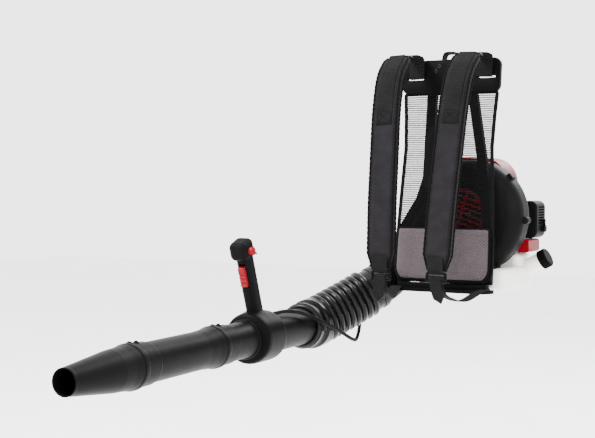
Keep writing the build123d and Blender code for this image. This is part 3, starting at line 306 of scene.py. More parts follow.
def net_material(name, color, pitch=0.0050):
    """Sheer net: opaque threads in rows with finer cross threads, clear holes between them."""
    mat, tree, bsdf, add = shader(name)
    place = add("ShaderNodeTexCoord")
    thread = []
    for direction, gap, low in (("Y", pitch, 0.62), ("X", 0.3 * pitch, 0.60)):
        wave = add("ShaderNodeTexWave", wave_type="BANDS", bands_direction=direction, Scale=WAVE_RATE / gap,
                   Distortion=0.0)
        tree.links.new(place.outputs["UV"], wave.inputs["Vector"])
        cut = add("ShaderNodeMath", operation="GREATER_THAN")
        cut.inputs[1].default_value = low
        tree.links.new(wave.outputs["Fac"], cut.inputs[0])
        thread.append(cut)
    either = add("ShaderNodeMath", operation="MAXIMUM")
    tree.links.new(thread[0].outputs[0], either.inputs[0])
    tree.links.new(thread[1].outputs[0], either.inputs[1])
    fuzz = add("ShaderNodeTexNoise", Scale=300.0, Detail=2.0)
    tree.links.new(place.outputs["UV"], fuzz.inputs["Vector"])
    tint = ramp(add, [(0.3, scaled(color, 0.7)), (0.7, scaled(color, 1.3))])
    tree.links.new(fuzz.outputs["Fac"], tint.inputs["Fac"])
    tree.links.new(tint.outputs["Color"], bsdf.inputs["Base Color"])
    tree.links.new(either.outputs[0], bsdf.inputs["Alpha"])
    bsdf.inputs["Roughness"].default_value = 0.9
    bsdf.inputs["Specular IOR Level"].default_value = 0.02
    mat.surface_render_method = "DITHERED"
    return mat


def tank_material(name):
    """Translucent blow-moulded plastic: milky, waxy, with faint flow marks."""
    mat, tree, bsdf, add = shader(name)
    place = add("ShaderNodeTexCoord")
    flow = add("ShaderNodeTexNoise", Scale=14.0, Detail=4.0)
    tree.links.new(place.outputs["Object"], flow.inputs["Vector"])
    tint = ramp(add, [(0.3, (0.78, 0.75, 0.68)), (0.7, (0.92, 0.90, 0.84))])
    tree.links.new(flow.outputs["Fac"], tint.inputs["Fac"])
    tree.links.new(tint.outputs["Color"], bsdf.inputs["Base Color"])
    dent = add("ShaderNodeBump", Strength=0.08, Distance=0.0006)
    tree.links.new(flow.outputs["Fac"], dent.inputs["Height"])
    tree.links.new(dent.outputs["Normal"], bsdf.inputs["Normal"])
    bsdf.inputs["Roughness"].default_value = 0.38
    bsdf.inputs["Subsurface Weight"].default_value = 0.6
    bsdf.inputs["Subsurface Scale"].default_value = 0.008
    bsdf.inputs["Subsurface Radius"].default_value = (1.0, 0.9, 0.75)
    return mat


BLACK = (0.0021, 0.0021, 0.0023)
CHARCOAL = (0.0046, 0.0046, 0.0050)
RED = (0.150, 0.0018, 0.0060)
tube_plastic = moulded("tube_plastic", BLACK, rough=0.40, grain=1400, bump=0.05)
frame_plastic = moulded("frame_plastic", BLACK, rough=0.5, grain=900, bump=0.10)
case_plastic = moulded("case_plastic", CHARCOAL, rough=0.44, grain=1200, bump=0.08)
grip_rubber = moulded("grip_rubber", (0.0034, 0.0034, 0.0037), rough=0.55, grain=1800, bump=0.15)
hose_rubber = moulded("hose_rubber", (0.0024, 0.0024, 0.0026), rough=0.24, grain=500, bump=0.03, gloss=0.20)
cable_loom = moulded("cable_loom", (0.0034, 0.0034, 0.0037), rough=0.45, grain=700, bump=0.1)
red_plastic = moulded("red_plastic", RED, rough=0.36, grain=1500, bump=0.04, gloss=0.14)
buckle_plastic = moulded("buckle_plastic", (0.0026, 0.0026, 0.0028), rough=0.38, grain=800, bump=0.05)
steel = metal("steel", (0.24, 0.24, 0.25))
dark_steel = metal("dark_steel", (0.020, 0.020, 0.022), rough=0.45)
cast_aluminium = metal("cast_aluminium", (0.34, 0.34, 0.35), rough=0.48, lines=(1, 1, 1))
strap_cloth = cloth("strap_cloth", (0.0085, 0.0077, 0.0089), pitch=0.0012, tilt=45, sheen=0.02)
edge_cloth = cloth("edge_cloth", (0.0048, 0.0044, 0.0048), pitch=0.0010, tilt=45, sheen=0.02)
webbing = cloth("webbing", (0.0042, 0.0043, 0.0044), tilt=0, ribs=0.0042, sheen=0.01, bump=1.0)
binding_tape = cloth("binding_tape", (0.0026, 0.0025, 0.0027), pitch=0.0012, tilt=0, sheen=0.01)
stitching = cloth("stitching", (0.0022, 0.0022, 0.0024), pitch=0.0006, tilt=30, source="Object", sheen=0.01)
pad_cloth = cloth("spacer_mesh", (0.056, 0.045, 0.049), pitch=0.0044, tilt=40, sheen=0.06, bump=0.9,
                  mottle=0.10)
net = net_material("back_net", (0.0030, 0.0030, 0.0032))
foam = cloth("filter_foam", (0.08, 0.07, 0.06), source="Object", pitch=0.003, sheen=0.1)
tank_plastic = tank_material("tank_plastic")
teal_line = moulded("teal_line", (0.01, 0.16, 0.19), rough=0.35)
ceramic = moulded("ceramic", (0.70, 0.68, 0.64), rough=0.2, bump=0.02)

NODE_LOOKS = {
    tube_plastic: "swivel_tube mid_tube nozzle handle_collar outlet_elbow",
    frame_plastic: "base_frame back_uprights yoke trigger_pin fuel_cap choke_lever",
    case_plastic: "volute_front_upper volute_front_lower volute_back air_cleaner_cover air_cleaner_base "
                  "starter_housing starter_pulley impeller starter_handle",
    grip_rubber: "grip_shell_left grip_shell_right isolator_mounts plug_boot primer_bulb",
    red_plastic: "inlet_grille engine_cover lower_cowl throttle_trigger cruise_lever",
    steel: "crankshaft crank_bearings flywheel muffler throttle_lever ignition_coil",
    dark_steel: "rear_hose_clamp front_hose_clamp",
    cast_aluminium: "cylinder crankcase carburettor piston_and_rod",
    foam: "air_filter",
    tank_plastic: "fuel_tank",
    teal_line: "fuel_lines",
    ceramic: "spark_plug",
    buckle_plastic: "strap_buckles",
    strap_cloth: "shoulder_strap_left shoulder_strap_right",
    webbing: "sewn_webbing top_webbing lower_webbing carry_handle",
    pad_cloth: "lumbar_pad",
    binding_tape: "mesh_binding",
    net: "back_mesh",
    hose_rubber: "bellows_hose throttle_cable_front throttle_cable_middle throttle_cable_rear",
}


def dress_nodes():
    """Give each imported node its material."""
    for material, names in NODE_LOOKS.items():
        for name in names.split():
            for place in nodes[name].material_slots:
                place.material = material


dress_nodes()


# ---------------------------------------------------------------- camera, light and floor
def make_stage():
    """Camera in front of the harness and to its right, a pale floor and soft studio light."""
    camera_data = bpy.data.cameras.new("studio_camera")
    camera_data.sensor_width = 36.0
    camera_data.lens = 75.63
    camera_data.clip_end = 40
    camera = bpy.data.objects.new("studio_camera", camera_data)
    camera.location = (1.133, -2.613, 0.265)
    camera.rotation_euler = (math.radians(90 - 2.0), 0, math.radians(30))
    bpy.context.scene.collection.objects.link(camera)
    bpy.context.scene.camera = camera
    half = 8.0
    depth = -0.62
    corners = [(x * half, y * half, depth) for x, y in ((-1, -1), (1, -1), (1, 1), (-1, 1))]
    floor = mesh_piece("floor", corners, [(0, 1, 2, 3)], smooth=False)
    paper, tree, bsdf, add = shader("floor_paper")
    place = add("ShaderNodeTexCoord")
    fibre = add("ShaderNodeTexNoise", Scale=3.0)
    tint = ramp(add, [(0.3, (0.90, 0.90, 0.90)), (0.7, (0.93, 0.93, 0.93))])
    tree.links.new(place.outputs["Object"], fibre.inputs["Vector"])
    tree.links.new(fibre.outputs["Fac"], tint.inputs["Fac"])
    tree.links.new(tint.outputs["Color"], bsdf.inputs["Base Color"])
    bsdf.inputs["Roughness"].default_value = 0.9
    floor.data.materials.append(paper)
    world = bpy.data.worlds.new("studio")
    world.use_nodes = True
    world.node_tree.nodes["Background"].inputs["Color"].default_value = (1.0, 1.0, 1.0, 1)
    world.node_tree.nodes["Background"].inputs["Strength"].default_value = 3.6
    bpy.context.scene.world = world
    middle = vec(-0.1, -0.2, 0.15)
    for name, place, size, power in (("key_light", (-1.6, -2.2, 2.6), 1.0, 330),
                                     ("fill_light", (2.6, -2.0, 1.4), 1.6, 60),
                                     ("back_light", (0.5, 2.6, 2.2), 1.6, 120)):
        lamp = bpy.data.lights.new(name, "AREA")
        lamp.size = size
        lamp.energy = power
        light = bpy.data.objects.new(name, lamp)
        light.location = place
        aim = unit(middle - vec(*place))
        light.rotation_euler = (math.acos(-aim[2]), 0, math.atan2(-aim[0], aim[1]))
        bpy.context.scene.collection.objects.link(light)


# ---------------------------------------------------------------- lines, ribbons and piping
def rounded_route(points, count, share=0.45):
    """A line through given points with every corner rounded off over a share of the shorter run."""
    p = np.asarray(points, float)
    t = np.linspace(0, 1, 16)[:, None]
    parts = [p[:1]]
    for before, corner, after in zip(p, p[1:], p[2:]):
        reach = share * min(np.linalg.norm(corner - before), np.linalg.norm(after - corner))
        start = corner + unit(before - corner) * reach
        end = corner + unit(after - corner) * reach
        parts.append((1 - t) ** 2 * start + 2 * t * (1 - t) * corner + t ** 2 * end)
    line = np.vstack(parts + [p[-1:]])
    run = along(line)
    at = np.linspace(0, run[-1], count)
    return np.stack([np.interp(at, run, line[:, k]) for k in range(3)], 1)


def shifted(line, side, distance):
    """A line moved outward along its face direction."""
    return line + distance * frames(line, side)[2]


def band_rings(line, side, width, thick, columns=28, power=6.0):
    """Rings of a flat woven band along a line; width and thick may change along it."""
    c, s = superellipse(columns, power)
    w = np.broadcast_to(np.asarray(width, float) / 2, len(line))[:, None]
    h = np.broadcast_to(np.asarray(thick, float) / 2, len(line))[:, None]
    return carried(line, side, w * c, h * s)


def band_uv_round(line, width, columns=28, power=6.0):
    """UVs in metres for a band's rings: its real offset across, and the distance along it."""
    c, _ = superellipse(columns, power)
    run = along(line)
    w = np.broadcast_to(np.asarray(width, float) / 2, len(line))[:, None]
    return np.stack(np.broadcast_arrays(w * c, run[:, None]), -1)


def joined(name, parts, materials):
    """One object from several (rings, uv, closed, material index) skins."""
    verts, faces, uvs, marks = [], [], [], []
    for rings, uv, closed, mark in parts:
        rows, columns = rings.shape[:2]
        first = sum(len(v) for v in verts)
        new = grid_faces(rows, columns, wrap_rows=closed, first=first)
        if not closed:
            new.append(list(range(first, first + columns))[::-1])
            new.append(list(range(first + (rows - 1) * columns, first + rows * columns)))
        verts.append(rings.reshape(-1, 3))
        uvs.append(np.zeros((rows * columns, 2)) if uv is None else uv.reshape(-1, 2))
        faces += new
        marks += [mark] * len(new)
    piece = mesh_piece(name, np.vstack(verts), faces, np.vstack(uvs))
    for material in materials:
        piece.data.materials.append(material)
    piece.data.polygons.foreach_set("material_index", np.array(marks, np.int32))
    return piece


def round_rings(line, radius, columns=12, side=(0, 0, 1)):
    """Rings of a round rod along a line; radius may change along it and round it."""
    a = np.linspace(0, 2 * math.pi, columns, endpoint=False)
    r = np.broadcast_to(np.asarray(radius, float), (len(line), columns)) if np.ndim(radius) == 2 else (
        np.broadcast_to(np.asarray(radius, float), len(line))[:, None])
    return carried(line, vec(*side), r * np.cos(a), r * np.sin(a))


def piping_rings(line, radius, side, stitch=0.0055, columns=10):
    """A bound edge: a rod with a shallow pinch at every stitch."""
    run = along(line)
    fat = radius * (0.70 + 0.38 * np.abs(np.sin(math.pi * run / stitch)) ** 0.6)
    return round_rings(line, fat, columns, side)


def stitch_parts(line, side, mark, length=0.0032, gap=0.0018, radius=0.00045):
    """Separate short stitches lying along a line."""
    run = along(line)
    parts = []
    starts = np.arange(gap, run[-1] - length, length + gap)
    for s in starts:
        at = np.linspace(s, s + length, 4)
        piece = np.stack([np.interp(at, run, line[:, k]) for k in range(3)], 1)
        fat = radius * np.array([0.4, 1.0, 1.0, 0.4])
        parts.append((round_rings(piece, fat, 5, side), None, False, mark))
    return parts


# ---------------------------------------------------------------- shoulder straps
STRAP_LINE = np.array([(-46, 526), (-94, 487), (-122, 407), (-139, 309), (-159, 201), (-171, 94),
                       (-173, 62)]) / 1000
STRAP_X = 0.084
TOE_IN = math.radians(2.3)
STRAP_HALF = 0.0295
STRAP_THICK = 0.020


def lean(points, side):
    """Points drawn for a strap on X = 0, leant so that its foot is nearer the middle."""
    p = np.asarray(points, float).copy()
    top = STRAP_LINE[0, 1]
    x = p[..., 0] * math.cos(TOE_IN) + side * (p[..., 2] - top) * math.sin(TOE_IN) + side * STRAP_X
    z = (p[..., 2] - top) * math.cos(TOE_IN) - side * p[..., 0] * math.sin(TOE_IN) + top
    p[..., 0], p[..., 2] = x, z
    return p


def strap_line(count=260):
    p = np.column_stack([np.zeros(len(STRAP_LINE)), STRAP_LINE])
    return rounded_route(p, count)


def make_strap(name, side):
    """A padded strap: a squared oval carried along the strap's line, quilted in shallow swells, thin and narrow
    at both ends, with beaded binding along its four edges."""
    line = strap_line()
    run = along(line)
    total = run[-1]
    across = vec(1, 0, 0)
    head = np.clip(run / 0.016, 0, 1)
    foot = np.clip((total - run) / 0.034, 0, 1)
    half = STRAP_HALF * np.minimum(0.84 + 0.16 * head ** 0.8, 0.66 + 0.34 * foot)
    thick = STRAP_THICK / 2 * np.minimum(0.45 + 0.55 * head ** 0.5, 0.35 + 0.65 * foot ** 0.6)
    columns = 88
    c, s = superellipse(columns, 5.5)
    swell = 1 + 0.035 * noise_along(run, 0.085, 5 + side)[:, None] * (1 - c[None, :] ** 2)
    crease = 0.00055 * noise_along(run, 0.021, 11 + side, 4)[:, None] * (1 - np.abs(c[None, :]) ** 3)
    x = half[:, None] * c * (1 + 0.008 * noise_along(run, 0.06, 23 + side)[:, None])
    y = thick[:, None] * s * swell + crease * np.sign(s)
    rings = lean(carried(line, across, x, y), side)
    uv = band_uv(line, columns, 0.158)
    edges = np.abs(c) > 0.985
    parts = [(rings, uv, False, 0)]
    _, side_dir, face = frames(line, across)
    corner_c, corner_s = 0.975, 0.80
    for sx in (-1, 1):
        for sy in (-1, 1):
            edge = line + (sx * half * corner_c)[:, None] * side_dir + (sy * thick * corner_s)[:, None] * face
            parts.append((lean(piping_rings(edge, 0.0027, (1, 0, 0), 0.0110), side), None, False, 2))
    keep = (run > 0.03) & (run < total - 0.03)
    for place in (-0.80, 0.80):
        lane = line + (place * half)[:, None] * side_dir + (thick * 0.985 + 0.0002)[:, None] * face
        for stitch, uv, closed, mark in stitch_parts(lane[keep], (1, 0, 0), 3, 0.0040, 0.0030):
            parts.append((lean(stitch, side), uv, closed, mark))
    strap = joined(name, parts, [strap_cloth, edge_cloth, binding_tape, stitching])
    index = np.zeros(len(strap.data.polygons), np.int32)
    strap.data.polygons.foreach_get("material_index", index)
    rows = len(line)
    gusset = np.broadcast_to(edges[None, :] & np.roll(edges, -1)[None, :], (rows - 1, columns)).reshape(-1)
    index[:gusset.size][gusset] = 1
    strap.data.polygons.foreach_set("material_index", index)
    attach(strap, "frame")
    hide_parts("shoulder_strap_" + name.split("_")[-1])


def make_sewn_webbing():
    """Webbing sewn down each strap's upper front, its end stitched in a box with a cross."""
    parts = []
    for side in (-1, 1):
        line = strap_line()
        keep = (line[:, 2] > 0.375)
        lane = shifted(line, vec(1, 0, 0), STRAP_THICK / 2 + 0.0010)[keep]
        run = along(lane)
        thick = 0.0021 + 0.0014 * np.clip((run - run[-1] + 0.032) / 0.003, 0, 1)
        rings = band_rings(lane, vec(1, 0, 0), 0.038, thick)
        parts.append((lean(rings, side), band_uv_round(lane, 0.038), False, 0))
        face = shifted(line, vec(1, 0, 0), STRAP_THICK / 2 + 0.0032)[keep]
        end = along(face)[-1]

        def on_face(u, v):
            """A point on the webbing's face: u across it, v up from its end."""
            at = end - np.asarray(v, float)
            spine = np.stack([np.interp(at, along(face), face[:, k]) for k in range(3)], -1)
            return spine + np.asarray(u, float)[..., None] * vec(1, 0, 0)

        t = np.linspace(0, 1, 24)
        box = [((-0.015 + 0.03 * t), 0.003 + 0 * t), ((-0.015 + 0.03 * t), 0.029 + 0 * t),
               (-0.015 + 0 * t, 0.003 + 0.026 * t), (0.015 + 0 * t, 0.003 + 0.026 * t),
               (-0.015 + 0.03 * t, 0.003 + 0.026 * t), (0.015 - 0.03 * t, 0.003 + 0.026 * t)]
        for u, v in box:
            for ring, uv, closed, mark in stitch_parts(on_face(u, v), (0, -1, 0.2), 1, 0.0026, 0.0012):
                parts.append((lean(ring, side), uv, closed, mark))
    piece = joined("sewn_strap_webbing", parts, [webbing, stitching])
    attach(piece, "frame")
    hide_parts("sewn_webbing")


def buckle_parts(place, turn, mark=0):
    """A ladder-lock: a rounded frame with a middle bar and a lip, drawn flat, then turned and moved."""
    w, l = 0.0240, 0.0120
    a = np.linspace(0, 2 * math.pi, 96, endpoint=False)
    c, s = np.sign(np.cos(a)) * np.abs(np.cos(a)) ** 0.32, np.sign(np.sin(a)) * np.abs(np.sin(a)) ** 0.32
    loop = np.stack([(w - 0.003) * c, (l - 0.0026) * s, 0 * a + 0.0006 * np.abs(s)], 1)
    k = np.linspace(0, 2 * math.pi, 14, endpoint=False)
    out = np.stack([c, s, 0 * a], 1)
    out = unit(out)
    rim = loop[:, None] + 0.0036 * np.cos(k)[None, :, None] * out[:, None] + (
        0.0034 * np.sin(k)[None, :, None] * vec(0, 0, 1))
    bars = []
    for at, fat in ((0.0008, 0.0030), (-l + 0.0034, 0.0038)):
        bar = np.stack([np.linspace(-w + 0.003, w - 0.003, 12), np.full(12, at), np.zeros(12)], 1)
        bars.append(round_rings(bar, np.full(12, fat), 12, (0, 0, 1)))
    ca, sa = math.cos(turn), math.sin(turn)
    matrix = np.array([(1, 0, 0), (0, ca, -sa), (0, sa, ca)])
    parts = [(rim @ matrix.T + place, None, True, mark)]
    return parts + [(bar @ matrix.T + place, None, False, mark) for bar in bars]


def make_buckles():
    head_y, head_z = STRAP_LINE[0]
    foot_y, foot_z = STRAP_LINE[-1]
    parts = []
    for side in (-1, 1):
        top = buckle_parts(vec(0, head_y + 0.015, head_z + 0.004), math.radians(-6))
        low = buckle_parts(vec(0, foot_y - 0.002, foot_z - 0.014), math.radians(84))
        parts += [(lean(r, side), u, c, m) for r, u, c, m in top + low]
    piece = joined("ladder_lock_buckles", parts, [buckle_plastic])
    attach(piece, "frame")
    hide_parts("strap_buckles")


def ribbon(points, side, width, count=70, thick=0.0019, mark=0):
    """The rings and UVs of a webbing ribbon through points."""
    line = rounded_route(points, count)
    return band_rings(line, side, width, thick), band_uv_round(line, width), False, mark


def make_top_webbing():
    """From each yoke slot up the yoke's face and over its edge to the buckle on the strap's head."""
    head_y, head_z = STRAP_LINE[0]
    parts = []
    for side in (-1, 1):
        points = [vec(0, 0.058, 0.4886), vec(0, 0.0475, 0.4886), vec(0, 0.0480, 0.500),
                  vec(0, 0.0515, 0.529), vec(0, 0.046, 0.5372), vec(0, 0.012, 0.5400),
                  vec(0, head_y + 0.026, head_z + 0.0085),
                  vec(0, head_y + 0.010, head_z + 0.0085), vec(0, head_y + 0.002, head_z + 0.003),
                  vec(0, head_y - 0.008, head_z - 0.002)]
        rings, uv, closed, mark = ribbon(points, vec(1, 0, 0), 0.038, 110)
        parts.append((lean(rings, side), uv, closed, mark))
    piece = joined("top_strap_webbing", parts, [webbing])
    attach(piece, "frame")
    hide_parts("top_webbing")


def make_lower_webbing():
    """From each strap's foot through its buckle and back to the base, with a pointed tail hanging free."""
    foot_y, foot_z = STRAP_LINE[-1]
    drop = (STRAP_LINE[0, 1] - foot_z) * math.tan(TOE_IN)
    parts = []
    for side in (-1, 1):
        x = side * (STRAP_X - drop)
        patch = [vec(x, foot_y - 0.011, foot_z + 0.030), vec(x, foot_y - 0.010, foot_z + 0.004),
                 vec(x, foot_y - 0.006, foot_z - 0.004), vec(x, foot_y - 0.003, foot_z - 0.007)]
        parts.append(ribbon(patch, vec(1, 0, 0), 0.036, 40, 0.0022))
        start = vec(x, foot_y - 0.004, foot_z - 0.014)
        anchor = vec(side * 0.108, -0.004, 0.010)
        run = anchor - start
        low = [start, start + run * 0.10 + vec(0, 0, -0.034), start + run * 0.50 + vec(0, 0, -0.042),
               anchor + run * -0.12 + vec(0, 0, -0.006), anchor]
        flat = unit(np.cross(vec(0, 0, 1), vec(run[0], run[1], 0)))
        parts.append(ribbon(low, flat, 0.025, 110))
        tail = [(0, -0.003, 0.002), (0, -0.006, -0.012), (side * 0.004, -0.002, -0.034),
                (side * 0.010, 0.006, -0.056)]
        tail_line = rounded_route([start + vec(*step) for step in tail], 50)
        s = along(tail_line)
        width = 0.0255 * np.clip((s[-1] - s) / 0.014, 0.12, 1)
        rings = band_rings(tail_line, vec(1, 0.1, 0), width, 0.0019)
        parts.append((rings, band_uv_round(tail_line, width), False, 0))
    piece = joined("lower_strap_webbing", parts, [webbing])
    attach(piece, "frame")
    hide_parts("lower_webbing")


PANEL_LEAN = math.radians(6.2)
PANEL_TOP = 0.455
YOKE_TOP = 0.533
YOKE_HALF = 0.1195
YOKE_CORNER = 0.016
YOKE_SLOT = vec(0.088, 0.490)
EYELETS = ((-0.0365, 0.5072), (-0.0290, 0.5183))


def on_panel(x, h, out):
    """Points on the back panel: across it, up it and out towards the wearer."""
    x, h, out = np.broadcast_arrays(np.asarray(x, float), np.asarray(h, float), np.asarray(out, float))
    k = PANEL_LEAN
    y = 0.010 + h * math.sin(k) - out * math.cos(k)
    z = h * math.cos(k) + out * math.sin(k)
    return np.stack([x, y, z], -1)


def yoke_half(side, face_out):
    """Half the yoke as a ring-shaped skin. Rows go from its slot's edge to its outline over the front and return
    over the back. An outline point's partner on the slot lies in the same direction from the slot's centre.
    The half reaches a little past the middle, into the other half, so no seam shows."""
    low, high, wide, corner, past = PANEL_TOP, YOKE_TOP, YOKE_HALF, YOKE_CORNER, -0.003
    turn = np.linspace(0, math.pi / 2, 12)
    lower = np.column_stack([wide - corner + corner * np.sin(turn), low + corner - corner * np.cos(turn)])
    upper = np.column_stack([wide - corner + corner * np.cos(turn), high - corner + corner * np.sin(turn)])
    edge = np.vstack([np.column_stack([np.linspace(past, wide - corner, 40)[:-1], np.full(39, low)]),
                      lower, upper,
                      np.column_stack([np.linspace(wide - corner, past, 40)[1:], np.full(39, high)]),
                      np.column_stack([np.full(18, past), np.linspace(high, low, 20)[1:-1]])])
    centre, straight, round_end = YOKE_SLOT, 0.018, 0.003
    aim = unit((edge - centre) / vec(0.0315, 0.0385))
    slot = centre + round_end * aim
    slot[:, 0] += straight * np.clip(1.4 * aim[:, 0], -1, 1)
    share = np.array([0, 0.012, 0.03, 0.5, 0.97, 0.99, 1, 1, 0.99, 0.97, 0.5, 0.03, 0.012, 0])
    out = np.array([0.0105, 0.0118, 0.012, 0.012, 0.012, 0.0117, 0.0102,
                    0.0018, 0.0003, 0, 0, 0, 0.0002, 0.0015])
    rows = slot + share[:, None, None] * (edge - slot)
    return on_panel(side * rows[..., 0], rows[..., 1], np.minimum(out, face_out)[:, None])


def make_yoke_plate():
    """The yoke: a flat plate with a slot for each strap's webbing and two small diamond eyelets between."""
    parts = [(yoke_half(1, 0.012), None, True, 0), (yoke_half(-1, 0.01195), None, True, 0)]
    for x, h in EYELETS:
        a = np.linspace(0, 2 * math.pi, 24, endpoint=False)
        reach = 0.0036 / (np.abs(np.cos(a)) + np.abs(np.sin(a)))
        k = np.linspace(0, 2 * math.pi, 10, endpoint=False)
        fat = 0.0011
        r = reach[:, None] + fat * np.cos(k)
        rim = on_panel(x + r * np.cos(a)[:, None], h + 1.25 * r * np.sin(a)[:, None],
                       0.0121 + fat * np.sin(k) + 0 * r)
        parts.append((rim, None, True, 1))
    piece = joined("yoke_plate", parts, [frame_plastic, dark_steel])
    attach(piece, "frame")
    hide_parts("yoke")


def make_carry_loop():
    """A flat webbing arch from the yoke's back, peaked where a hand pulls it."""
    points = on_panel(np.array([-31, -34, -30, -10, 16, 30, 31]) / 1000,
                      np.array([500, 540, 555, 555, 549, 538, 500]) / 1000, -0.0252)
    line = rounded_route(points, 120)
    side = on_panel(0, 0, -1) - on_panel(0, 0, 0)
    rings = band_rings(line, unit(side), 0.024, 0.0040)
    piece = joined("carry_loop", [(rings, band_uv_round(line, 0.024), False, 0)], [webbing])
    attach(piece, "frame")
    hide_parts("carry_handle")


# ---------------------------------------------------------------- back net, its binding and the lumbar pad
def net_half(h):
    """The net's half width at a height: round at the foot, narrow at the waist, wider to the yoke."""
    h = np.asarray(h, float)
    rise = np.array([24, 26, 31, 38, 50, 120, 220, 330, 400, 455]) / 1000
    wide = np.array([92, 101, 109, 114, 118, 116.5, 112, 106, 109, 113]) / 1000
    return np.interp(h, rise, wide)


def outline_path(count=520, inset=0.0):
    """The closed outline of the back panel on the panel's plane, as (x, h)."""
    h = np.concatenate([np.linspace(0.0245, 0.0245, 1), np.linspace(0.025, 0.455, 120)])
    w = net_half(h)
    right = np.column_stack([w, h])
    top = np.column_stack([np.linspace(w[-1], -w[-1], 60)[1:-1], np.full(58, 0.455)])
    left = right[::-1] * (-1, 1)
    foot = np.column_stack([np.linspace(-w[0], w[0], 60)[1:-1], np.full(58, 0.0245)])
    loop = np.vstack([right, top, left, foot])
    closed = np.vstack([loop, loop[:1]])
    run = np.concatenate([[0], np.cumsum(np.linalg.norm(np.diff(closed, axis=0), axis=1))])
    at = np.linspace(0, run[-1], count, endpoint=False)
    even = np.stack([np.interp(at, run, closed[:, k]) for k in range(2)], 1)
    for _ in range(3):
        even = 0.5 * even + 0.25 * (np.roll(even, 1, 0) + np.roll(even, -1, 0))
    centre = even.mean(0)
    return even + inset * unit(centre - even)


def make_net():
    """The net: a grid stretched between the bindings, bowed a little backwards."""
    rows, columns = 150, 70
    h = np.linspace(0.028, 0.455, rows)[:, None]
    u = np.linspace(-1, 1, columns)[None, :]
    x = u * (net_half(h) - 0.0035)
    bow = -0.010 * (1 - u ** 2) * np.sin(np.clip((h - 0.15) / 0.305, 0, 1) * math.pi) ** 0.8
    grid = on_panel(x, h + 0 * u, 0.0062 + bow)
    uv = np.stack(np.broadcast_arrays(x, h), -1)
    piece = mesh_piece("back_net", grid, grid_faces(rows, columns, wrap_columns=False), uv)
    piece.data.materials.append(net)
    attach(piece, "frame")
    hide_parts("back_mesh")


def make_binding():
    """Binding tape folded round the panel's edge, pinched by its stitches."""
    loop = outline_path()
    line = on_panel(loop[:, 0], loop[:, 1], 0.0062)
    closed = np.vstack([line[-2:], line, line[:2]])
    _, across, face = frames(closed, on_panel(0, 0, 1) - on_panel(0, 0, 0))
    run = along(closed)
    c, s = superellipse(16, 3.0)
    pinch = 0.90 + 0.12 * np.abs(np.sin(math.pi * run / 0.0065))[:, None] ** 0.6
    rings = (closed[:, None] + (0.0026 * pinch * c)[..., None] * across[:, None]
             + (0.0042 * pinch * s)[..., None] * face[:, None])[2:-2]
    piece = joined("panel_binding", [(rings, band_uv(closed[2:-2], 16, 0.022), True, 0)], [binding_tape])
    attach(piece, "frame")
    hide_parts("mesh_binding")


def pad_outline(count, low=0.0275, high=0.143, inset=0.0045):
    """The lumbar pad's closed outline, (x, h): the panel's foot, cut off straight at the top."""
    h = np.linspace(low, high, 60)
    right = np.column_stack([net_half(h) - inset, h])
    top = np.column_stack([np.linspace(right[-1, 0], -right[-1, 0], 60)[1:-1], np.full(58, high)])
    foot = np.column_stack([np.linspace(-right[0, 0], right[0, 0], 60)[1:-1], np.full(58, low)])
    loop = np.vstack([right, top, right[::-1] * (-1, 1), foot])
    closed = np.vstack([loop, loop[:1]])
    run = along(closed)
    at = np.linspace(0, run[-1], count, endpoint=False)
    even = np.stack([np.interp(at, run, closed[:, k]) for k in range(2)], 1)
    for _ in range(2):
        even = 0.5 * even + 0.25 * (np.roll(even, 1, 0) + np.roll(even, -1, 0))
    return even


def make_lumbar_pad():
    """The pad: a soft crowned slab whose rings shrink from its outline to its middle, front and back."""
    columns = 240
    outline = pad_outline(columns)
    share = np.concatenate([np.linspace(0.02, 0.90, 26), np.linspace(0.915, 1.0, 12),
                            np.linspace(0.985, 0.02, 16)])
    front = np.concatenate([np.ones(38), np.zeros(16)])
    crown = np.where(front > 0, (1 - share ** 7) ** 0.45, 0)
    half_w, half_h, mid = 0.112, 0.058, 0.085
    x = share[:, None] * outline[None, :, 0]
    h = mid + share[:, None] * (outline[None, :, 1] - mid)
    dome = np.cos(x / half_w * 1.3) * np.cos((h - mid) / half_h)
    out = 0.0085 + (0.0175 + 0.0018 * dome) * crown[:, None]
    out = out + 0.0006 * crown[:, None] * np.sin(x / 0.031 + 1.0) * np.sin(h / 0.023)
    seam = np.exp(-((h - (mid + half_h - 0.013)) / 0.0016) ** 2)
    out = out - 0.0014 * seam * crown[:, None]
    rings = on_panel(x, h, out)
    uv = np.stack([x, h], -1)
    edge = on_panel(outline[:, 0], outline[:, 1], 0.0125)
    closed = np.vstack([edge[-2:], edge, edge[:2]])
    bead = piping_rings(closed, 0.0030, on_panel(0, 0, 1) - on_panel(0, 0, 0), 0.0065)[2:-2]
    parts = [(rings, uv, False, 0), (bead, None, True, 1)]
    piece = joined("lumbar_cushion", parts, [pad_cloth, binding_tape])
    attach(piece, "frame")
    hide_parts("lumbar_pad")


# ---------------------------------------------------------------- bellows hose and throttle cable
def hose_route(count):
    start = HOSE_REAR - 0.024 * HOSE_REAR_DIR
    return rounded_route([start, HOSE_REAR + HOSE_RUN * HOSE_REAR_DIR, CUFF - HOSE_RUN * TUBE_DIR,
                          CUFF - HOSE_MOUTH * TUBE_DIR], count)


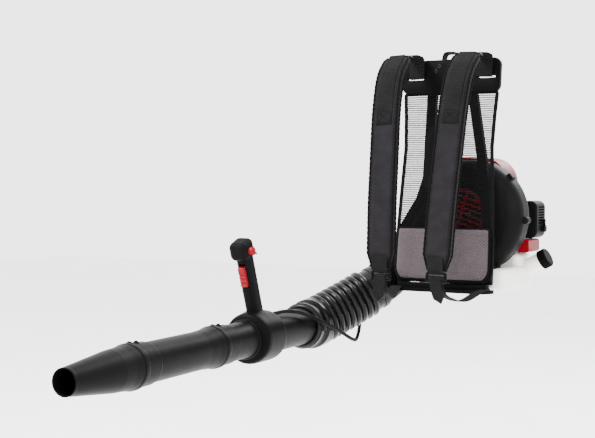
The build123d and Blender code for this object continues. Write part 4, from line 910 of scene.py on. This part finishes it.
def hose_radius(run, total):
    """The bellows' outside radius: plain cuffs, a smooth shoulder in front and eight round corrugations."""
    back = total - run
    cuff = 0.0500
    crest = 0.0570
    r = np.full_like(run, cuff)
    groove = 0.0007 * (np.abs(((run - 0.004) % 0.0085) - 0.00425) > 0.0034) * (run < 0.034)
    first, last, count = 0.034, total - 0.084, 8
    pitch = (last - first) / count
    t = (run - first) / pitch
    bead = np.abs(np.sin(math.pi * np.clip(t, 0, count)))
    corrugated = crest - 0.0080 * (1 - bead ** 0.62)
    inside = (run >= first) & (run <= last)
    r = np.where(inside, corrugated, r - groove)
    shoulder = crest - 0.0085 * np.exp(-((run - last) / 0.0045) ** 2)
    r = np.where((run > last) & (back > 0.046), shoulder, r)
    ease = np.clip((back - 0.034) / 0.012, 0, 1)
    ease = ease * ease * (3 - 2 * ease)
    r = np.where((back <= 0.046) & (back >= 0.034), cuff + (crest - cuff) * ease, r)
    rings = 0.0012 * (np.abs((back % 0.008) - 0.004) < 0.0018) * (back > 0.0045) * (back < 0.016)
    lip = 0.0060 * (1 - np.sqrt(np.clip(1 - (1 - back / 0.007) ** 2, 0, 1))) * (back < 0.007)
    return np.where(back < 0.034, cuff - rings - lip, r)


def make_hose():
    """The bellows as two skins, one for each joint: rings round the hose's route with the radius of its
    corrugations outside and a plain bore inside, joined at both ends."""
    line = hose_route(900)
    run = along(line)
    total = run[-1]
    radius = hose_radius(run, total)
    columns = 96
    a = np.linspace(0, 2 * math.pi, columns, endpoint=False)
    _, across, face = frames(line, vec(0, 0, 1))
    between = (joint_at("hose_swing") + joint_at("tube_tilt")) / 2
    split = int(np.argmin(np.linalg.norm(line - between, axis=1)))

    def ring_set(index, radii):
        r = radii[:, None, None]
        return line[index][:, None] + r * (np.cos(a)[None, :, None] * across[index][:, None]
                                           + np.sin(a)[None, :, None] * face[index][:, None])

    for name, low, high in (("bellows_rear", 0, split), ("bellows_front", split, len(line) - 1)):
        outer = np.arange(low, high + 1)
        inner = outer[::-8]
        bore = np.where(total - run[inner] < 0.046, 0.0413, 0.0468)
        skin = np.concatenate([ring_set(outer, radius[outer]), ring_set(inner, bore)])
        piece = joined(name, [(skin, None, True, 0)], [hose_rubber])
        if name == "bellows_rear":
            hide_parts("bellows_hose")
            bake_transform(piece)
        else:
            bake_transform(piece)


def lathe(name, start, end, outside, inside, swell, material, body, node):
    """A turned skin along the tube's axis. Its radius follows outside, a table of (along, radius), plus swell, a
    function of along and of the angle from straight up. It returns along the bore by the table inside."""
    columns = 144
    s = np.linspace(start, end, int((end - start) / 0.0012) + 1)
    a = np.linspace(0, 2 * math.pi, columns, endpoint=False)
    angle = np.arctan2(np.sin(a), np.cos(a))
    r = np.interp(s, *np.array(outside).T)[:, None] + swell(s[:, None], angle[None, :])
    back = s[::-6]
    bore = np.interp(back, *np.array(inside).T)[:, None] + 0 * a
    along_s = np.concatenate([s, back])[:, None]
    radius = np.vstack([r, bore])
    skin = on_tube(radius * np.sin(a), radius * np.cos(a), along_s + 0 * a)
    piece = joined(name, [(skin, None, True, 0)], [material])
    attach(piece, body)
    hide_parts(node)


def bump_at(s, a, place, angle, length, turn, height):
    """A soft bump: a Gaussian in distance along the tube and in angle round it."""
    return height * np.exp(-((s - place) / length) ** 2 - ((a - angle) / turn) ** 2)


def twist_ridge(s, a, ring):
    """A socket's raised twist slot: a ridge running back from the ring as it turns down the near side."""
    share = np.clip(-a / math.radians(48), 0, 1)
    centre = ring - 0.004 - 0.050 * (share * share * (3 - 2 * share))
    window = 1 / (1 + np.exp((-a - math.radians(50)) / 0.05)) / (1 + np.exp((a - math.radians(6)) / 0.05))
    return 0.0030 * window * np.exp(-((s - centre) / 0.0040) ** 2)


def make_tubes():
    """The swivel tube, the middle tube and the nozzle, each with a smooth socket over the tube behind it."""

    def none(s, a):
        return 0 * s * a

    lathe("swivel_tube_skin", -0.060, 0.391,
          [(-0.060, 0.0405), (-0.058, 0.041), (0.152, 0.041), (0.154, 0.0405), (0.2555, 0.0405),
           (0.2565, 0.0413), (0.2605, 0.0413), (0.2625, 0.0400), (0.2640, 0.0378), (0.391, 0.0375)],
          [(-0.060, 0.0355), (0.391, 0.0355)], none, tube_plastic, "tube", "swivel_tube")
    for name, start, end, ring, tail, body, node in (
            ("middle_tube_skin", 0.340, 0.687, 0.390, [(0.687, 0.0375)], "middle_tube", "mid_tube"),
            ("nozzle_skin", 0.636, 0.8744, 0.686,
             [(0.745, 0.0375), (0.753, 0.0370), (0.868, 0.0248), (0.8744, 0.0246)], "nozzle", "nozzle")):
        outside = [(start, 0.0392), (start + 0.002, 0.0401), (ring - 0.009, 0.0404), (ring - 0.005, 0.0426),
                   (ring + 0.005, 0.0428), (ring + 0.009, 0.0414), (ring + 0.030, 0.0392),
                   (ring + 0.062, 0.0376)] + tail
        taper = [(0.749, 0.0355), (0.8744, 0.0226)] if node == "nozzle" else [(end, 0.0355)]
        inside = [(start, 0.0378), (ring + 0.004, 0.0378), (ring + 0.006, 0.0355)] + taper

        def swell(s, a, ring=ring):
            peg = bump_at(s, a, ring - 0.021, 0.05, 0.0055, 0.13, 0.0050)
            return np.maximum(twist_ridge(s, a, ring), peg)

        lathe(name, start, end, outside, inside, swell, tube_plastic, body, node)


def make_collar():
    """The handle's collar: a closed cup round the tube, raised in a soft root where the grip stands."""

    def root(s, a):
        return 0.0075 * np.exp(-(a / 0.42) ** 2 - ((s - 0.206) / 0.020) ** 2)

    lathe("collar_skin", 0.155, 0.2500,
          [(0.155, 0.0455), (0.1565, 0.0480), (0.160, 0.0510), (0.165, 0.0533), (0.170, 0.0540),
           (0.232, 0.0540), (0.240, 0.0532), (0.2445, 0.0512), (0.2465, 0.0495), (0.2475, 0.0470), (0.2482, 0.0430),
           (0.2500, 0.0392)],
          [(0.155, 0.0412), (0.157, 0.0408), (0.250, 0.0408)],
          root, tube_plastic, "handle", "handle_collar")


CABLE = [(-238, -290, -28), (-231, -236, -36), (-222, -204, -48), (-208, -182, -61), (-203, -143, -76),
         (-203, -96, -94), (-199, -58, -112), (-204, -22, -121), (-208, 0, -99), (-219, 26, -80), (-238, 66, -48),
         (-246, 96, 20),
         (-222, 134, 72), (-168, 166, 94), (-92, 169, 92), (-34, 168, 98), (4, 170, 110), (52, 168, 120),
         (80, 166, 140), (87, 165, 172)]


def make_cable():
    """The throttle cable's ribbed loom: a rod whose radius swells along a fine spiral, in three lengths."""
    start = CUFF + 0.016 * TUBE_SIDE + vec(0, 0, 0.045) + (COLLAR_START - 0.002) * TUBE_DIR
    points = np.vstack([start, np.array(CABLE) / 1000])
    collar_side = (points[3] + points[4]) / 2
    hose_side = (points[6] + points[7]) / 2
    lengths = (("cable_front", np.vstack([points[:4], collar_side]), "throttle_cable_front"),
               ("cable_middle", np.vstack([collar_side, points[4:7], hose_side]), "throttle_cable_middle"),
               ("cable_rear", np.vstack([hose_side, points[7:]]), "throttle_cable_rear"))
    for name, route, node in lengths:
        count = int(np.linalg.norm(np.diff(route, axis=0), axis=1).sum() / 0.0007)
        line = rounded_route(route, count)
        run = along(line)
        a = np.linspace(0, 2 * math.pi, 14, endpoint=False)
        spiral = np.sin(2 * math.pi * run[:, None] / 0.0042 + a[None, :])
        radius = 0.0042 * (0.955 + 0.045 * np.sign(spiral) * np.abs(spiral) ** 0.5)
        piece = joined(name, [(round_rings(line, radius, 14, (0.3, 0.1, 1)), None, False, 0)], [cable_loom])
        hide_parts(node)
        if name == "cable_front":
            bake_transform(piece)
        elif name == "cable_middle":
            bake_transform(piece)
        else:
            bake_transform(piece)


for strap_name, strap_side in (("strap_left", -1), ("strap_right", 1)):
    make_strap(strap_name, strap_side)
make_sewn_webbing()
make_buckles()
make_top_webbing()
make_lower_webbing()
make_yoke_plate()
make_carry_loop()
make_binding()
make_net()
make_lumbar_pad()
make_hose()
make_tubes()
make_collar()
make_cable()

make_stage()
